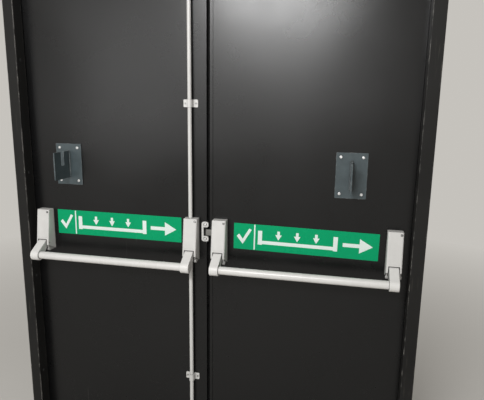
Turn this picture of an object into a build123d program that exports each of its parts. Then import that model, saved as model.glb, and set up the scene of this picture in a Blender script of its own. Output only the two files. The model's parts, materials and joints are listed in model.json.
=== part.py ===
from build123d import *
from math import cos, hypot, radians, sin
import os

# Steel double door set in its frame, millimetres.
# X runs along the wall, Y runs from the push side to the outside, Z is up.
# The origin is on the floor, midway between the jambs, in the plane of the leaves' push faces.

os.makedirs("parts", exist_ok=True)

# Frame
FRAME_WIDTH = 1800.0
FRAME_HEIGHT = 2150.0
FRAME_FACE = 50.0
FRAME_SHEET = 2.0
FRAME_BEND = 3.0
FRAME_FRONT = 62.0
REBATE = 18.0
WALL_LIP = 15.0
THRESHOLD_PLATE = 5.0
THRESHOLD_STOP = 18.0
THRESHOLD_WALL = 2.0
FIXING_RADIUS = 5.0
FIXING_START = 300.0
FIXING_SPACING = 500.0
STRAP_HEIGHT = 80.0

# Leaves
LEAF_THICKNESS = 48.0
LEAF_SHEET = 1.5
LEAF_SIDE_GAP = 3.0
LEAF_TOP_GAP = 3.0
LEAF_BOTTOM_GAP = 7.0
MEETING_GAP = 13.0
LEAF_LIP = 14.0
LEAF_SEAM = 1.6
LEAF_BEND = 2.0
LEAF_ARRIS = 0.7
STIFFENER_WIDTH = 60.0
STIFFENER_FLANGE = 18.0
STIFFENER_OFFSETS = (180.0, 330.0, 480.0)

# Seals
SEAL_THICKNESS = 4.0
SEAL_WIDTH = 10.0
SEAL_INSET = 2.0
MEETING_SEAL_BASE = 3.0
MEETING_SEAL_WIDTH = 14.0
MEETING_SEAL_DEPTH = 36.0
MEETING_SEAL_FIN = 2.5
MEETING_SEAL_CLEARANCE = 2.3

# Hinges
LOW_HINGE_HEIGHT = 230.0
TOP_HINGE_DROP = 250.0
HINGE_LENGTH = 100.0
HINGE_KNUCKLE_RADIUS = 8.0
HINGE_PIN_RADIUS = 5.0
HINGE_PIN_LENGTH = 44.0
HINGE_PIN_CLEARANCE = 0.06
HINGE_FLAP_THICKNESS = 3.0
HINGE_FLAP_WIDTH = 30.0
HINGE_KNUCKLE_MARGIN = 1.5
HINGE_PLAY = 0.3

# Panic heads
BAR_HEIGHT = 931.0
BAR_RADIUS = 17.0
BAR_WALL = 2.0
BAR_DEPTH = 104.0
OUTER_HEAD_MARGIN = 62.0
ROD_HEAD_OFFSET = 71.0
LATCH_HEAD_OFFSET = 57.5
HEAD_WIDTH = 62.0
HEAD_TOP = 198.5
HEAD_BOTTOM = 35.0
HEAD_FOOT = 6.0
HEAD_TOP_DEPTH = 38.0
HEAD_BOTTOM_DEPTH = 60.0
HEAD_ROUND = 6.0
HEAD_TOP_ROUND = 3.0
COVER_WALL = 2.0
COVER_STANDOFF = 0.5
COVER_SCREW_INSET = 9.0
COVER_SCREW_DROP = 11.0
CHASSIS_PLATE = 3.0
CHASSIS_FIT = 1.0
EAR_TOP = 81.0
EAR_DEPTH = 45.0
EAR_HEIGHT = 14.5
EAR_RADIUS = 8.5
PIVOT_DEPTH = 46.0
PIVOT_RISE = 49.0
PIVOT_RADIUS = 4.0
PIVOT_CLEARANCE = 0.05
SIDE_HOLE_DEPTH = 49.0
SIDE_HOLE_RISE = 44.0
SIDE_HOLE_RADIUS = 3.5
POST_RADIUS = 4.5
POST_GAP = 0.3

# Arms
ARM_WIDTH = 38.0
ARM_HUB_RADIUS = 12.0
ARM_BARREL_RADIUS = 24.5
ARM_END_WALL = 6.0
ARM_ROUND = 2.0
ARM_SLOT_CLEARANCE = 2.2
ARM_SLOT_TOP = 59.5
ARM_SOCKET_CLEARANCE = 0.05

# Vertical rods
ROD_OFFSET = 75.0
ROD_DEPTH = 18.0
ROD_RADIUS = 8.5
ROD_WALL = 1.5
ROD_TIP_RADIUS = 6.5
ROD_SHOULDER = 10.0
ROD_THROW = 10.0
ROD_FLOOR_GAP = 1.5
TOP_ROD_START = 135.0
BOTTOM_ROD_START = 79.0
GUIDE_HEIGHTS = (1622.0, 361.5)
GUIDE_END_MARGIN = 40.0
GUIDE_HEIGHT = 32.0
GUIDE_WIDTH = 64.0
GUIDE_SHEET = 2.5
GUIDE_CLEARANCE = 0.4
GUIDE_ROUND = 4.0
GUIDE_SCREW_OFFSET = 24.0
KEEPER_PLATE_LENGTH = 60.0
KEEPER_PLATE_WIDTH = 28.0
KEEPER_PLATE_THICKNESS = 3.0
KEEPER_CLEARANCE = 1.0
SOFFIT_HOLE_CLEARANCE = 3.0

# Latch and its keeper
LATCH_RISE = 138.0
LATCH_HEIGHT = 27.0
LATCH_THICKNESS = 13.0
LATCH_PLAY = 3.5
LATCH_REACH = 14.0
LATCH_TAIL = 64.0
LATCH_BEVEL = 10.0
LATCH_SLOT_CLEARANCE = 1.0
STRIKE_HEIGHT = 88.0
STRIKE_MOUTH = 40.0
STRIKE_LEFT = 27.5
STRIKE_RIGHT = 3.5
STRIKE_BAR = 8.5
STRIKE_THICKNESS = 8.0
STRIKE_ROUND = 9.0
STRIKE_SCREW_X = 12.0

# Brackets on the leaves
BRACKET_HEIGHT = 1343.0
LEFT_BRACKET_INSET = 191.0
RIGHT_BRACKET_INSET = 249.0
BRACKET_PLATE_WIDTH = 125.0
BRACKET_PLATE_HEIGHT = 186.0
BRACKET_PLATE = 4.0
BRACKET_ROUND = 3.0
BRACKET_SCREW_X = 44.0
BRACKET_SCREW_Z = 75.0
FIN_THICKNESS = 5.0
FIN_REACH = 120.0
FIN_HEIGHT = 122.0
FIN_ROUND = 4.0
NOTCH_CENTRE = 59.5
NOTCH_WIDTH = 23.0
NOTCH_DEPTH = 62.0
WELD_LEG = 3.0

# Signs
SIGN_HEIGHT = 115.0
SIGN_MARGIN = 21.5
SIGN_THICKNESS = 1.5
SIGN_ROUND = 2.0
SIGN_MARK = 0.4
LEFT_SIGN_RISE = 137.0
RIGHT_SIGN_RISE = 123.5
LEFT_SIGN_TILT = -0.27
RIGHT_SIGN_TILT = -0.9
DIVIDER_OFFSET = 92.0
DIVIDER_WIDTH = 5.5
TICK_STROKE = 11.0
TICK_RISE = 37.0
TICK_FOOT = 34.0
DRAWN_BAR_START = 24.0
DRAWN_BAR_END = 176.0
DRAWN_BAR_DROP = 20.0
DRAWN_BAR_THICKNESS = 15.0
DRAWN_HEAD_WIDTH = 18.0
DRAWN_HEAD_HEIGHT = 62.0
SMALL_ARROW = (40.0, 11.0, 24.0)
SMALL_ARROW_RISE = 34.0
SMALL_ARROW_SPACING = 80.0
BIG_ARROW = (122.0, 16.0, 54.0)
BIG_ARROW_START = 146.0

# Screws
SCREW_HOLE_PLAY = 0.1
SCREW_REACH = 6.0
SCREW_RECESS = 0.4
SCREW_DOME = 0.55
LARGE_SCREW = (6.0, 3.2, 3.0)
SMALL_SCREW = (4.0, 2.0, 2.0)

# Values that follow from the ones above
HALF_WIDTH = FRAME_WIDTH / 2
HALF_CLEAR = HALF_WIDTH - FRAME_FACE
HALF_REBATE = HALF_CLEAR + REBATE
LEAF_EDGE = HALF_REBATE - LEAF_SIDE_GAP
MEETING_EDGE = MEETING_GAP / 2
HEAD_SOFFIT = FRAME_HEIGHT - FRAME_FACE
LEAF_TOP = HEAD_SOFFIT + REBATE - LEAF_TOP_GAP
LEAF_BOTTOM = THRESHOLD_PLATE + LEAF_BOTTOM_GAP
FRAME_DEPTH = FRAME_FRONT + LEAF_THICKNESS
FIXING_COUNT = int((HEAD_SOFFIT - FIXING_START) / FIXING_SPACING) + 1
FIXING_HEIGHTS = [FIXING_START + n * FIXING_SPACING for n in range(FIXING_COUNT)]
TOP_HINGE_HEIGHT = LEAF_TOP + LEAF_TOP_GAP - TOP_HINGE_DROP
HINGE_HEIGHTS = (LOW_HINGE_HEIGHT, (LOW_HINGE_HEIGHT + TOP_HINGE_HEIGHT) / 2, TOP_HINGE_HEIGHT)
STOP_MIDDLE = -(FRAME_FRONT + SEAL_THICKNESS) / 2
HINGE_X = (LEAF_EDGE + HALF_REBATE) / 2
HINGE_Y = LEAF_THICKNESS + HINGE_KNUCKLE_RADIUS
OUTER_HEAD_X = HALF_CLEAR - OUTER_HEAD_MARGIN
HEAD_Z = BAR_HEIGHT
ROD_X = -ROD_OFFSET
SIGN_LENGTH = OUTER_HEAD_X - ROD_HEAD_OFFSET - HEAD_WIDTH - 2 * SIGN_MARGIN
STRIKE_Z = BAR_HEIGHT + LATCH_RISE
TOP_GUIDE_Z = LEAF_TOP - GUIDE_END_MARGIN - GUIDE_HEIGHT / 2
BOTTOM_GUIDE_Z = LEAF_BOTTOM + GUIDE_END_MARGIN
ROD_GUIDES = (TOP_GUIDE_Z, *GUIDE_HEIGHTS, BOTTOM_GUIDE_Z)
FRONT_SLOPE = (HEAD_BOTTOM_DEPTH - HEAD_TOP_DEPTH) / (HEAD_TOP - HEAD_BOTTOM)


def push_plane(x, z, out=0.0, tilt=0.0):
    """A plane facing the push side, its origin `out` in front of the leaves' faces."""
    turn = radians(tilt)
    return Plane(origin=(x, -out, z), x_dir=(cos(turn), 0, sin(turn)), z_dir=(0, -1, 0))


def side_plane(x, z=0.0):
    """A plane across X, its local x along Y and its local y along Z."""
    return Plane(origin=(x, 0, z), x_dir=(0, 1, 0), z_dir=(1, 0, 0))


def save(part, name):
    part.label = name
    export_step(part, f"parts/{name}.step")


# Frame

def frame_section():
    """The folded section, its x measured inwards from the frame's outer side, y as Y."""
    with BuildSketch() as section:
        with BuildLine():
            Polyline(
                (0, -FRAME_FRONT),
                (FRAME_FACE, -FRAME_FRONT),
                (FRAME_FACE, -SEAL_THICKNESS),
                (FRAME_FACE - REBATE, -SEAL_THICKNESS),
                (FRAME_FACE - REBATE, LEAF_THICKNESS),
                (0, LEAF_THICKNESS),
                close=True,
            )
        make_face()
        fillet(section.vertices(), FRAME_BEND)
        offset(amount=-FRAME_SHEET, mode=Mode.SUBTRACT)
        with Locations((0, (LEAF_THICKNESS - FRAME_FRONT) / 2)):
            Rectangle(2 * FRAME_SHEET, FRAME_DEPTH - 2 * WALL_LIP, mode=Mode.SUBTRACT)
    return section.sketch


with BuildPart() as left_jamb:
    with BuildSketch(Plane(origin=(-HALF_WIDTH, 0, 0))):
        add(frame_section())
    extrude(amount=FRAME_HEIGHT)
    corner = Plane(origin=(-HALF_WIDTH, 0, FRAME_HEIGHT), z_dir=(1, 0, 1))
    split(bisect_by=corner, keep=Keep.BOTTOM)
    for height in FIXING_HEIGHTS:
        # A strap inside the section takes the pull of the fixing
        with BuildSketch(Plane(origin=(-HALF_WIDTH, 0, height - STRAP_HEIGHT / 2))):
            with Locations((FRAME_SHEET, FRAME_SHEET - FRAME_FRONT)):
                strap_align = (Align.MIN, Align.MIN)
                Rectangle(FRAME_SHEET, FRAME_DEPTH - 2 * FRAME_SHEET, align=strap_align)
        extrude(amount=STRAP_HEIGHT)
        reveal = Plane(origin=(-HALF_CLEAR, STOP_MIDDLE, height), z_dir=(-1, 0, 0))
        with BuildSketch(reveal):
            Circle(FIXING_RADIUS)
        extrude(amount=FRAME_FACE, mode=Mode.SUBTRACT)
save(left_jamb.part, "left_jamb")

with BuildPart() as right_jamb:
    mirror(left_jamb.part, about=Plane.YZ)
save(right_jamb.part, "right_jamb")

with BuildPart() as frame_head:
    with BuildSketch(Plane(origin=(0, 0, FRAME_HEIGHT), x_dir=(0, 0, -1), z_dir=(1, 0, 0))):
        add(frame_section())
    extrude(amount=HALF_WIDTH, both=True)
    for side in (-1, 1):
        corner = Plane(origin=(side * HALF_WIDTH, 0, FRAME_HEIGHT), z_dir=(-side, 0, 1))
        split(bisect_by=corner, keep=Keep.TOP)
    with BuildSketch(Plane.XY.offset(HEAD_SOFFIT)):
        with Locations((ROD_X, -ROD_DEPTH)):
            Circle(ROD_TIP_RADIUS + SOFFIT_HOLE_CLEARANCE)
    extrude(amount=2 * FRAME_SHEET, both=True, mode=Mode.SUBTRACT)
save(frame_head.part, "frame_head")

with BuildPart() as threshold:
    with BuildSketch(side_plane(-HALF_REBATE)) as section:
        with BuildLine():
            Polyline(
                (-FRAME_FRONT, 0),
                (-FRAME_FRONT, THRESHOLD_STOP),
                (-SEAL_THICKNESS, THRESHOLD_STOP),
                (-SEAL_THICKNESS, THRESHOLD_PLATE),
                (LEAF_THICKNESS, THRESHOLD_PLATE),
                (LEAF_THICKNESS, 0),
                close=True,
            )
        make_face()
        chamber_height = THRESHOLD_STOP - THRESHOLD_PLATE - THRESHOLD_WALL
        chamber_width = FRAME_FRONT - SEAL_THICKNESS - 2 * THRESHOLD_WALL
        with Locations((STOP_MIDDLE, THRESHOLD_PLATE + chamber_height / 2)):
            Rectangle(chamber_width, chamber_height, mode=Mode.SUBTRACT)
    extrude(amount=2 * HALF_REBATE)
    for side in (-1, 1):
        with BuildSketch(Plane.XY):
            with Locations((side * (HALF_CLEAR + REBATE / 2), -FRAME_FRONT)):
                notch_depth = FRAME_FRONT - SEAL_THICKNESS + FRAME_BEND
                Rectangle(REBATE, notch_depth, align=(Align.CENTER, Align.MIN))
        extrude(amount=THRESHOLD_STOP, mode=Mode.SUBTRACT)
    with BuildSketch(Plane.XY.offset(THRESHOLD_PLATE)):
        with Locations((ROD_X, -ROD_DEPTH)):
            Circle(ROD_TIP_RADIUS + KEEPER_CLEARANCE)
    extrude(amount=THRESHOLD_STOP, mode=Mode.SUBTRACT)
save(threshold.part, "threshold")

with BuildPart() as frame_seal:
    seal_x = HALF_CLEAR + SEAL_INSET
    seal_z = HEAD_SOFFIT + SEAL_INSET
    with BuildSketch(push_plane(0, THRESHOLD_STOP)):
        Rectangle(
            2 * (seal_x + SEAL_WIDTH),
            seal_z + SEAL_WIDTH - THRESHOLD_STOP,
            align=(Align.CENTER, Align.MIN),
        )
        inner_height = seal_z - THRESHOLD_STOP
        Rectangle(2 * seal_x, inner_height, align=(Align.CENTER, Align.MIN), mode=Mode.SUBTRACT)
    extrude(amount=SEAL_THICKNESS)
save(frame_seal.part, "frame_seal")

with BuildPart() as top_rod_keeper:
    with BuildSketch(Plane.XY.offset(HEAD_SOFFIT - KEEPER_PLATE_THICKNESS)) as plate:
        with Locations((ROD_X, -ROD_DEPTH)):
            Rectangle(KEEPER_PLATE_LENGTH, KEEPER_PLATE_WIDTH)
        fillet(plate.vertices(), GUIDE_ROUND)
        with Locations((ROD_X, -ROD_DEPTH)):
            Circle(ROD_TIP_RADIUS + KEEPER_CLEARANCE, mode=Mode.SUBTRACT)
    extrude(amount=KEEPER_PLATE_THICKNESS)
save(top_rod_keeper.part, "top_rod_keeper")


# Hinges: the frame half carries the pin, the leaf half turns on it

def flap_and_knuckle(side, toward, flap_range, knuckle_range):
    """Adds a flap welded on the outside face and the knuckle on its edge."""
    hinge_x = side * HINGE_X
    on_face = (Align.CENTER, Align.MIN)
    inner = HINGE_KNUCKLE_RADIUS + HINGE_KNUCKLE_MARGIN
    with BuildSketch(Plane.XY.offset(flap_range[0])) as flap:
        with Locations((hinge_x + toward * (inner + HINGE_FLAP_WIDTH) / 2, LEAF_THICKNESS)):
            Rectangle(HINGE_FLAP_WIDTH - inner, HINGE_FLAP_THICKNESS, align=on_face)
    extrude(flap.sketch, amount=flap_range[1] - flap_range[0])
    with BuildSketch(Plane.XY.offset(knuckle_range[0])) as roll:
        with Locations((hinge_x, HINGE_Y)):
            Circle(HINGE_KNUCKLE_RADIUS)
        with Locations((hinge_x + toward * HINGE_KNUCKLE_RADIUS, LEAF_THICKNESS)):
            Rectangle(2 * HINGE_KNUCKLE_RADIUS, HINGE_FLAP_THICKNESS, align=on_face)
    extrude(roll.sketch, amount=knuckle_range[1] - knuckle_range[0])


def pin_circle(side, start, radius):
    with BuildSketch(Plane.XY.offset(start)) as circle:
        with Locations((side * HINGE_X, HINGE_Y)):
            Circle(radius)
    return circle.sketch


def hinge_frame_half(side, height):
    low = height - HINGE_LENGTH / 2
    high = height + HINGE_LENGTH / 2
    with BuildPart() as half:
        flap_and_knuckle(side, side, (low, high), (low, height - HINGE_PLAY / 2))
        pin = pin_circle(side, height - HINGE_PLAY, HINGE_PIN_RADIUS)
        extrude(pin, amount=HINGE_PIN_LENGTH + HINGE_PLAY)
    return half.part


def hinge_leaf_half(side, height):
    low = height - HINGE_LENGTH / 2
    high = height + HINGE_LENGTH / 2
    with BuildPart() as half:
        flap_and_knuckle(side, -side, (low, high), (height + HINGE_PLAY / 2, high))
        bore = pin_circle(side, height, HINGE_PIN_RADIUS + HINGE_PIN_CLEARANCE)
        extrude(bore, amount=HINGE_PIN_LENGTH + 2 * HINGE_PLAY, mode=Mode.SUBTRACT)
    return half.part


for side, leaf_name in ((-1, "left"), (1, "right")):
    for place, height in zip(("bottom", "middle", "top"), HINGE_HEIGHTS):
        save(hinge_frame_half(side, height), f"{leaf_name}_{place}_hinge_frame_half")
        save(hinge_leaf_half(side, height), f"{leaf_name}_{place}_hinge_leaf_half")


# Leaves: a folded outer tray, a push-side sheet and hat stiffeners between them

def span(side, near, far):
    """The X range of something that lies from `near` to `far` out from the middle."""
    return (side * near, side * far) if side > 0 else (side * far, side * near)


def upright(x_range, z_range, y_range, mode=Mode.ADD):
    """Adds a plain block given by its ranges."""
    with BuildSketch(Plane.XY.offset(z_range[0])) as outline:
        with Locations(((x_range[0] + x_range[1]) / 2, (y_range[0] + y_range[1]) / 2)):
            Rectangle(x_range[1] - x_range[0], y_range[1] - y_range[0])
    extrude(outline.sketch, amount=z_range[1] - z_range[0], mode=mode)


def outer_tray(side, meeting_lip):
    lip_side = LEAF_LIP if meeting_lip else 0.0
    inside = (LEAF_SHEET, LEAF_THICKNESS - LEAF_SHEET)
    with BuildPart() as tray:
        upright(span(side, MEETING_EDGE, LEAF_EDGE), (LEAF_BOTTOM, LEAF_TOP), (0, LEAF_THICKNESS))
        bends = tray.edges().filter_by(Axis.Z)
        if not meeting_lip:
            bends = bends.filter_by(lambda e: e.center().Y > 0 or abs(e.center().X) > MEETING_EDGE)
        fillet(bends, LEAF_BEND)
        upright(
            span(side, MEETING_EDGE + LEAF_SHEET, LEAF_EDGE - LEAF_SHEET),
            (LEAF_BOTTOM + LEAF_SHEET, LEAF_TOP - LEAF_SHEET),
            inside,
            Mode.SUBTRACT,
        )
        upright(
            span(side, MEETING_EDGE + lip_side, LEAF_EDGE - LEAF_LIP),
            (LEAF_BOTTOM + LEAF_LIP, LEAF_TOP - LEAF_LIP),
            (0, LEAF_SHEET),
            Mode.SUBTRACT,
        )
    return tray.part


def push_sheet(side, meeting_lip, holes):
    """The sheet that the hardware is screwed to; `holes` holds x, z and radius."""
    first = MEETING_EDGE + (LEAF_LIP + LEAF_SEAM if meeting_lip else 0.0)
    edge = LEAF_LIP + LEAF_SEAM
    with BuildPart() as sheet:
        upright(
            span(side, first, LEAF_EDGE - edge),
            (LEAF_BOTTOM + edge, LEAF_TOP - edge),
            (0, LEAF_SHEET),
        )
        if not meeting_lip:
            uprights = sheet.edges().filter_by(Axis.Z).sort_by(Axis.Y)[:2]
            fillet(uprights.sort_by(lambda e: abs(e.center().X))[0], LEAF_ARRIS)
        for x, z, radius in holes:
            with BuildSketch(push_plane(x, z)):
                Circle(radius + SCREW_HOLE_PLAY)
            extrude(amount=-LEAF_SHEET, mode=Mode.SUBTRACT)
    return sheet.part


def stiffeners(side):
    low = LEAF_BOTTOM + LEAF_LIP + LEAF_SEAM
    high = LEAF_TOP - LEAF_LIP - LEAF_SEAM
    front, back = LEAF_SHEET, LEAF_THICKNESS - LEAF_SHEET
    with BuildPart() as hats:
        for offset_x in STIFFENER_OFFSETS:
            x = side * offset_x
            half = STIFFENER_WIDTH / 2
            wing = half + STIFFENER_FLANGE
            upright((x - half, x + half), (low, high), (front, back))
            upright((x - wing, x + wing), (low, high), (front, front + LEAF_SHEET))
            hollow = half - LEAF_SHEET
            upright((x - hollow, x + hollow), (low, high), (front, back - LEAF_SHEET), Mode.SUBTRACT)
    return hats.part


# Screw places: x, z and how far the screw's seat is in front of the leaf

def bracket_screws(x):
    return [
        (x + dx, BRACKET_HEIGHT + dz, BRACKET_PLATE)
        for dx in (-BRACKET_SCREW_X, BRACKET_SCREW_X)
        for dz in (-BRACKET_SCREW_Z, BRACKET_SCREW_Z)
    ]


LEFT_BRACKET_X = -(HALF_CLEAR - LEFT_BRACKET_INSET)
RIGHT_BRACKET_X = HALF_CLEAR - RIGHT_BRACKET_INSET
STRIKE_PAD_Z = (STRIKE_HEIGHT + STRIKE_MOUTH) / 4
GUIDE_SCREWS = [
    (ROD_X + dx, height, GUIDE_SHEET)
    for height in ROD_GUIDES
    for dx in (-GUIDE_SCREW_OFFSET, GUIDE_SCREW_OFFSET)
]
STRIKE_SCREWS = [
    (-STRIKE_SCREW_X, STRIKE_Z + dz, STRIKE_THICKNESS)
    for dz in (-STRIKE_PAD_Z, STRIKE_PAD_Z)
]
LEFT_LARGE = bracket_screws(LEFT_BRACKET_X) + STRIKE_SCREWS
RIGHT_LARGE = bracket_screws(RIGHT_BRACKET_X)

for side, leaf_name, meeting_lip, large_screws, small_screws in (
    (-1, "left", False, LEFT_LARGE, GUIDE_SCREWS),
    (1, "right", True, RIGHT_LARGE, []),
):
    holes = [(x, z, LARGE_SCREW[1]) for x, z, seat in large_screws]
    holes += [(x, z, SMALL_SCREW[1]) for x, z, seat in small_screws]
    save(outer_tray(side, meeting_lip), f"{leaf_name}_outer_tray")
    save(push_sheet(side, meeting_lip, holes), f"{leaf_name}_push_sheet")
    save(stiffeners(side), f"{leaf_name}_stiffeners")

with BuildPart() as meeting_seal:
    fin_tip = MEETING_EDGE - MEETING_SEAL_CLEARANCE
    with BuildSketch(Plane.XY.offset(LEAF_BOTTOM)) as section:
        with Locations((-MEETING_EDGE, MEETING_SEAL_DEPTH)):
            seal_align = (Align.MIN, Align.CENTER)
            Rectangle(MEETING_SEAL_BASE, MEETING_SEAL_WIDTH, align=seal_align)
            Rectangle(MEETING_EDGE + fin_tip, MEETING_SEAL_FIN, align=seal_align)
    extrude(amount=LEAF_TOP - LEAF_BOTTOM)
save(meeting_seal.part, "meeting_seal")


# Panic heads

def front_depth(height):
    """How far the cover's front stands out, `height` above the bar's axis."""
    return HEAD_BOTTOM_DEPTH - FRONT_SLOPE * (height - HEAD_BOTTOM)


def front_plane(x, drop=0.0):
    """A plane on the cover's sloping front, `drop` below its top corner."""
    height = HEAD_TOP - drop
    length = hypot(1, FRONT_SLOPE)
    origin = (x, -front_depth(height), HEAD_Z + height)
    return Plane(origin=origin, x_dir=(1, 0, 0), z_dir=(0, -1 / length, FRONT_SLOPE / length))


def side_drill(x0, x1, y, z, radius, mode=Mode.SUBTRACT):
    """A round bar or hole along X, from x0 to x1."""
    with BuildSketch(side_plane(x0, HEAD_Z)) as circle:
        with Locations((y, z)):
            Circle(radius)
    extrude(circle.sketch, amount=x1 - x0, mode=mode)


def head_chassis(x):
    half = HEAD_WIDTH / 2 - COVER_WALL - CHASSIS_FIT
    arm_half = ARM_WIDTH / 2 + ARM_SLOT_CLEARANCE
    base_low = HEAD_Z + HEAD_FOOT
    base_high = HEAD_Z + HEAD_TOP - COVER_WALL - CHASSIS_FIT
    with BuildPart() as chassis:
        with BuildSketch(front_plane(x, COVER_SCREW_DROP).offset(-COVER_WALL - POST_GAP)):
            with Locations((HEAD_WIDTH / 2 - COVER_SCREW_INSET, 0)):
                Circle(POST_RADIUS)
                Circle(SMALL_SCREW[1] + SCREW_HOLE_PLAY, mode=Mode.SUBTRACT)
        extrude(amount=-HEAD_BOTTOM_DEPTH)
        split(bisect_by=Plane.XZ.offset(CHASSIS_PLATE), keep=Keep.TOP)
        upright((x - half, x + half), (base_low, base_high), (-CHASSIS_PLATE, 0))
        for turn in (-1, 1):
            inner = x + turn * (half - CHASSIS_PLATE)
            with BuildSketch(side_plane(inner, HEAD_Z)):
                with BuildLine():
                    Polyline(
                        (-CHASSIS_PLATE, HEAD_FOOT),
                        (-CHASSIS_PLATE, EAR_TOP),
                        (-PIVOT_DEPTH, EAR_TOP),
                        (-EAR_DEPTH - EAR_RADIUS, HEAD_BOTTOM),
                        (-EAR_DEPTH - EAR_RADIUS, EAR_HEIGHT),
                        (-EAR_DEPTH, EAR_HEIGHT - EAR_RADIUS),
                        close=True,
                    )
                make_face()
                with Locations((-EAR_DEPTH, EAR_HEIGHT)):
                    Circle(EAR_RADIUS)
            extrude(amount=turn * CHASSIS_PLATE)
            boss_end = x + turn * HEAD_WIDTH / 2
            side_drill(x + turn * arm_half, boss_end, -EAR_DEPTH, EAR_HEIGHT, EAR_RADIUS, Mode.ADD)
        hole = PIVOT_RADIUS + PIVOT_CLEARANCE
        side_drill(x - half, x + half, -PIVOT_DEPTH, PIVOT_RISE, hole)
    return chassis.part


def head_cover(x, rod=False, latch=False):
    half = HEAD_WIDTH / 2
    with BuildPart() as cover:
        with BuildSketch(side_plane(x - half, HEAD_Z)):
            with BuildLine():
                Polyline(
                    (-COVER_STANDOFF, HEAD_TOP),
                    (-HEAD_TOP_DEPTH, HEAD_TOP),
                    (-HEAD_BOTTOM_DEPTH, HEAD_BOTTOM),
                    (-COVER_STANDOFF, HEAD_FOOT),
                    close=True,
                )
            make_face()
        extrude(amount=HEAD_WIDTH)
        front = cover.faces().sort_by(lambda f: f.normal_at().Y)[0]
        fillet(front.edges().filter_by(Axis.X, reverse=True), HEAD_ROUND)
        roof = cover.faces().sort_by(Axis.Z)[-1]
        fillet(roof.edges().filter_by(lambda e: e.center().Y < -COVER_STANDOFF - 1), HEAD_TOP_ROUND)
        back = cover.faces().sort_by(Axis.Y)[-1]
        bottom = cover.faces().sort_by(Axis.Z)[0]
        offset(amount=-COVER_WALL, openings=[back, bottom])
        slot = ARM_WIDTH / 2 + ARM_SLOT_CLEARANCE
        upright(
            (x - slot, x + slot),
            (HEAD_Z - HEAD_FOOT, HEAD_Z + ARM_SLOT_TOP),
            (-2 * HEAD_BOTTOM_DEPTH, -HEAD_BOTTOM_DEPTH / 2),
            Mode.SUBTRACT,
        )
        side_drill(x - half, x + half, -SIDE_HOLE_DEPTH, SIDE_HOLE_RISE, SIDE_HOLE_RADIUS)
        with BuildSketch(front_plane(x, COVER_SCREW_DROP)):
            with Locations((half - COVER_SCREW_INSET, 0)):
                Circle(SMALL_SCREW[1] + SCREW_HOLE_PLAY)
        extrude(amount=-2 * COVER_WALL, mode=Mode.SUBTRACT)
        if rod:
            with BuildSketch(Plane.XY.offset(HEAD_Z + HEAD_TOP - 2 * COVER_WALL)):
                with Locations((ROD_X, -ROD_DEPTH)):
                    Circle(ROD_RADIUS + GUIDE_CLEARANCE)
            extrude(amount=4 * COVER_WALL, mode=Mode.SUBTRACT)
        if latch:
            play = LATCH_SLOT_CLEARANCE
            tall = LATCH_HEIGHT / 2 + play
            upright(
                (x - half, x - half + COVER_WALL),
                (STRIKE_Z - tall, STRIKE_Z + tall),
                (-LATCH_PLAY - LATCH_THICKNESS - play, 0),
                Mode.SUBTRACT,
            )
    return cover.part


def pivot_pins(places):
    reach = HEAD_WIDTH / 2 - COVER_WALL - CHASSIS_FIT
    with BuildPart() as pins:
        for x in places:
            side_drill(x - reach, x + reach, -PIVOT_DEPTH, PIVOT_RISE, PIVOT_RADIUS, Mode.ADD)
    return pins.part


def arm(x, inward):
    """One arm; `inward` is the direction along X in which the bar leaves it."""
    half = ARM_WIDTH / 2
    with BuildPart() as lever:
        with BuildSketch(side_plane(x - half, HEAD_Z)):
            with Locations((-PIVOT_DEPTH, PIVOT_RISE)):
                Circle(ARM_HUB_RADIUS)
            with Locations((-BAR_DEPTH, 0)):
                Circle(ARM_BARREL_RADIUS)
            make_hull()
        extrude(amount=ARM_WIDTH)
        rims = lever.faces().sort_by(Axis.X)[0].edges() + lever.faces().sort_by(Axis.X)[-1].edges()
        fillet(rims, ARM_ROUND)
        hole = PIVOT_RADIUS + PIVOT_CLEARANCE
        side_drill(x - half, x + half, -PIVOT_DEPTH, PIVOT_RISE, hole)
        mouth = x + inward * half
        floor = x - inward * (half - ARM_END_WALL)
        side_drill(floor, mouth, -BAR_DEPTH, 0, BAR_RADIUS + ARM_SOCKET_CLEARANCE)
    return lever.part


def push_bar(x0, x1):
    """The round bar between two arms, its ends in their sockets."""
    reach = ARM_WIDTH / 2 - ARM_END_WALL - HINGE_PLAY
    with BuildPart() as bar:
        with BuildSketch(side_plane(x0 - reach, HEAD_Z)):
            with Locations((-BAR_DEPTH, 0)):
                Circle(BAR_RADIUS)
                Circle(BAR_RADIUS - BAR_WALL, mode=Mode.SUBTRACT)
        extrude(amount=x1 - x0 + 2 * reach)
    return bar.part


for leaf_name, heads in (
    ("left", ((-OUTER_HEAD_X, "left_outer", 1), (-ROD_HEAD_OFFSET, "rod", -1))),
    ("right", ((LATCH_HEAD_OFFSET, "latch", 1), (OUTER_HEAD_X, "right_outer", -1))),
):
    for x, head_name, inward in heads:
        save(head_chassis(x), f"{head_name}_head_chassis")
        cover_part = head_cover(x, rod=head_name == "rod", latch=head_name == "latch")
        save(cover_part, f"{head_name}_head_cover")
        save(arm(x, inward), f"{head_name}_arm")
    save(pivot_pins([heads[0][0], heads[1][0]]), f"{leaf_name}_pivot_pins")
    save(push_bar(heads[0][0], heads[1][0]), f"{leaf_name}_push_bar")


# Vertical rods of the left leaf, their guides and the latch with its keeper

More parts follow.
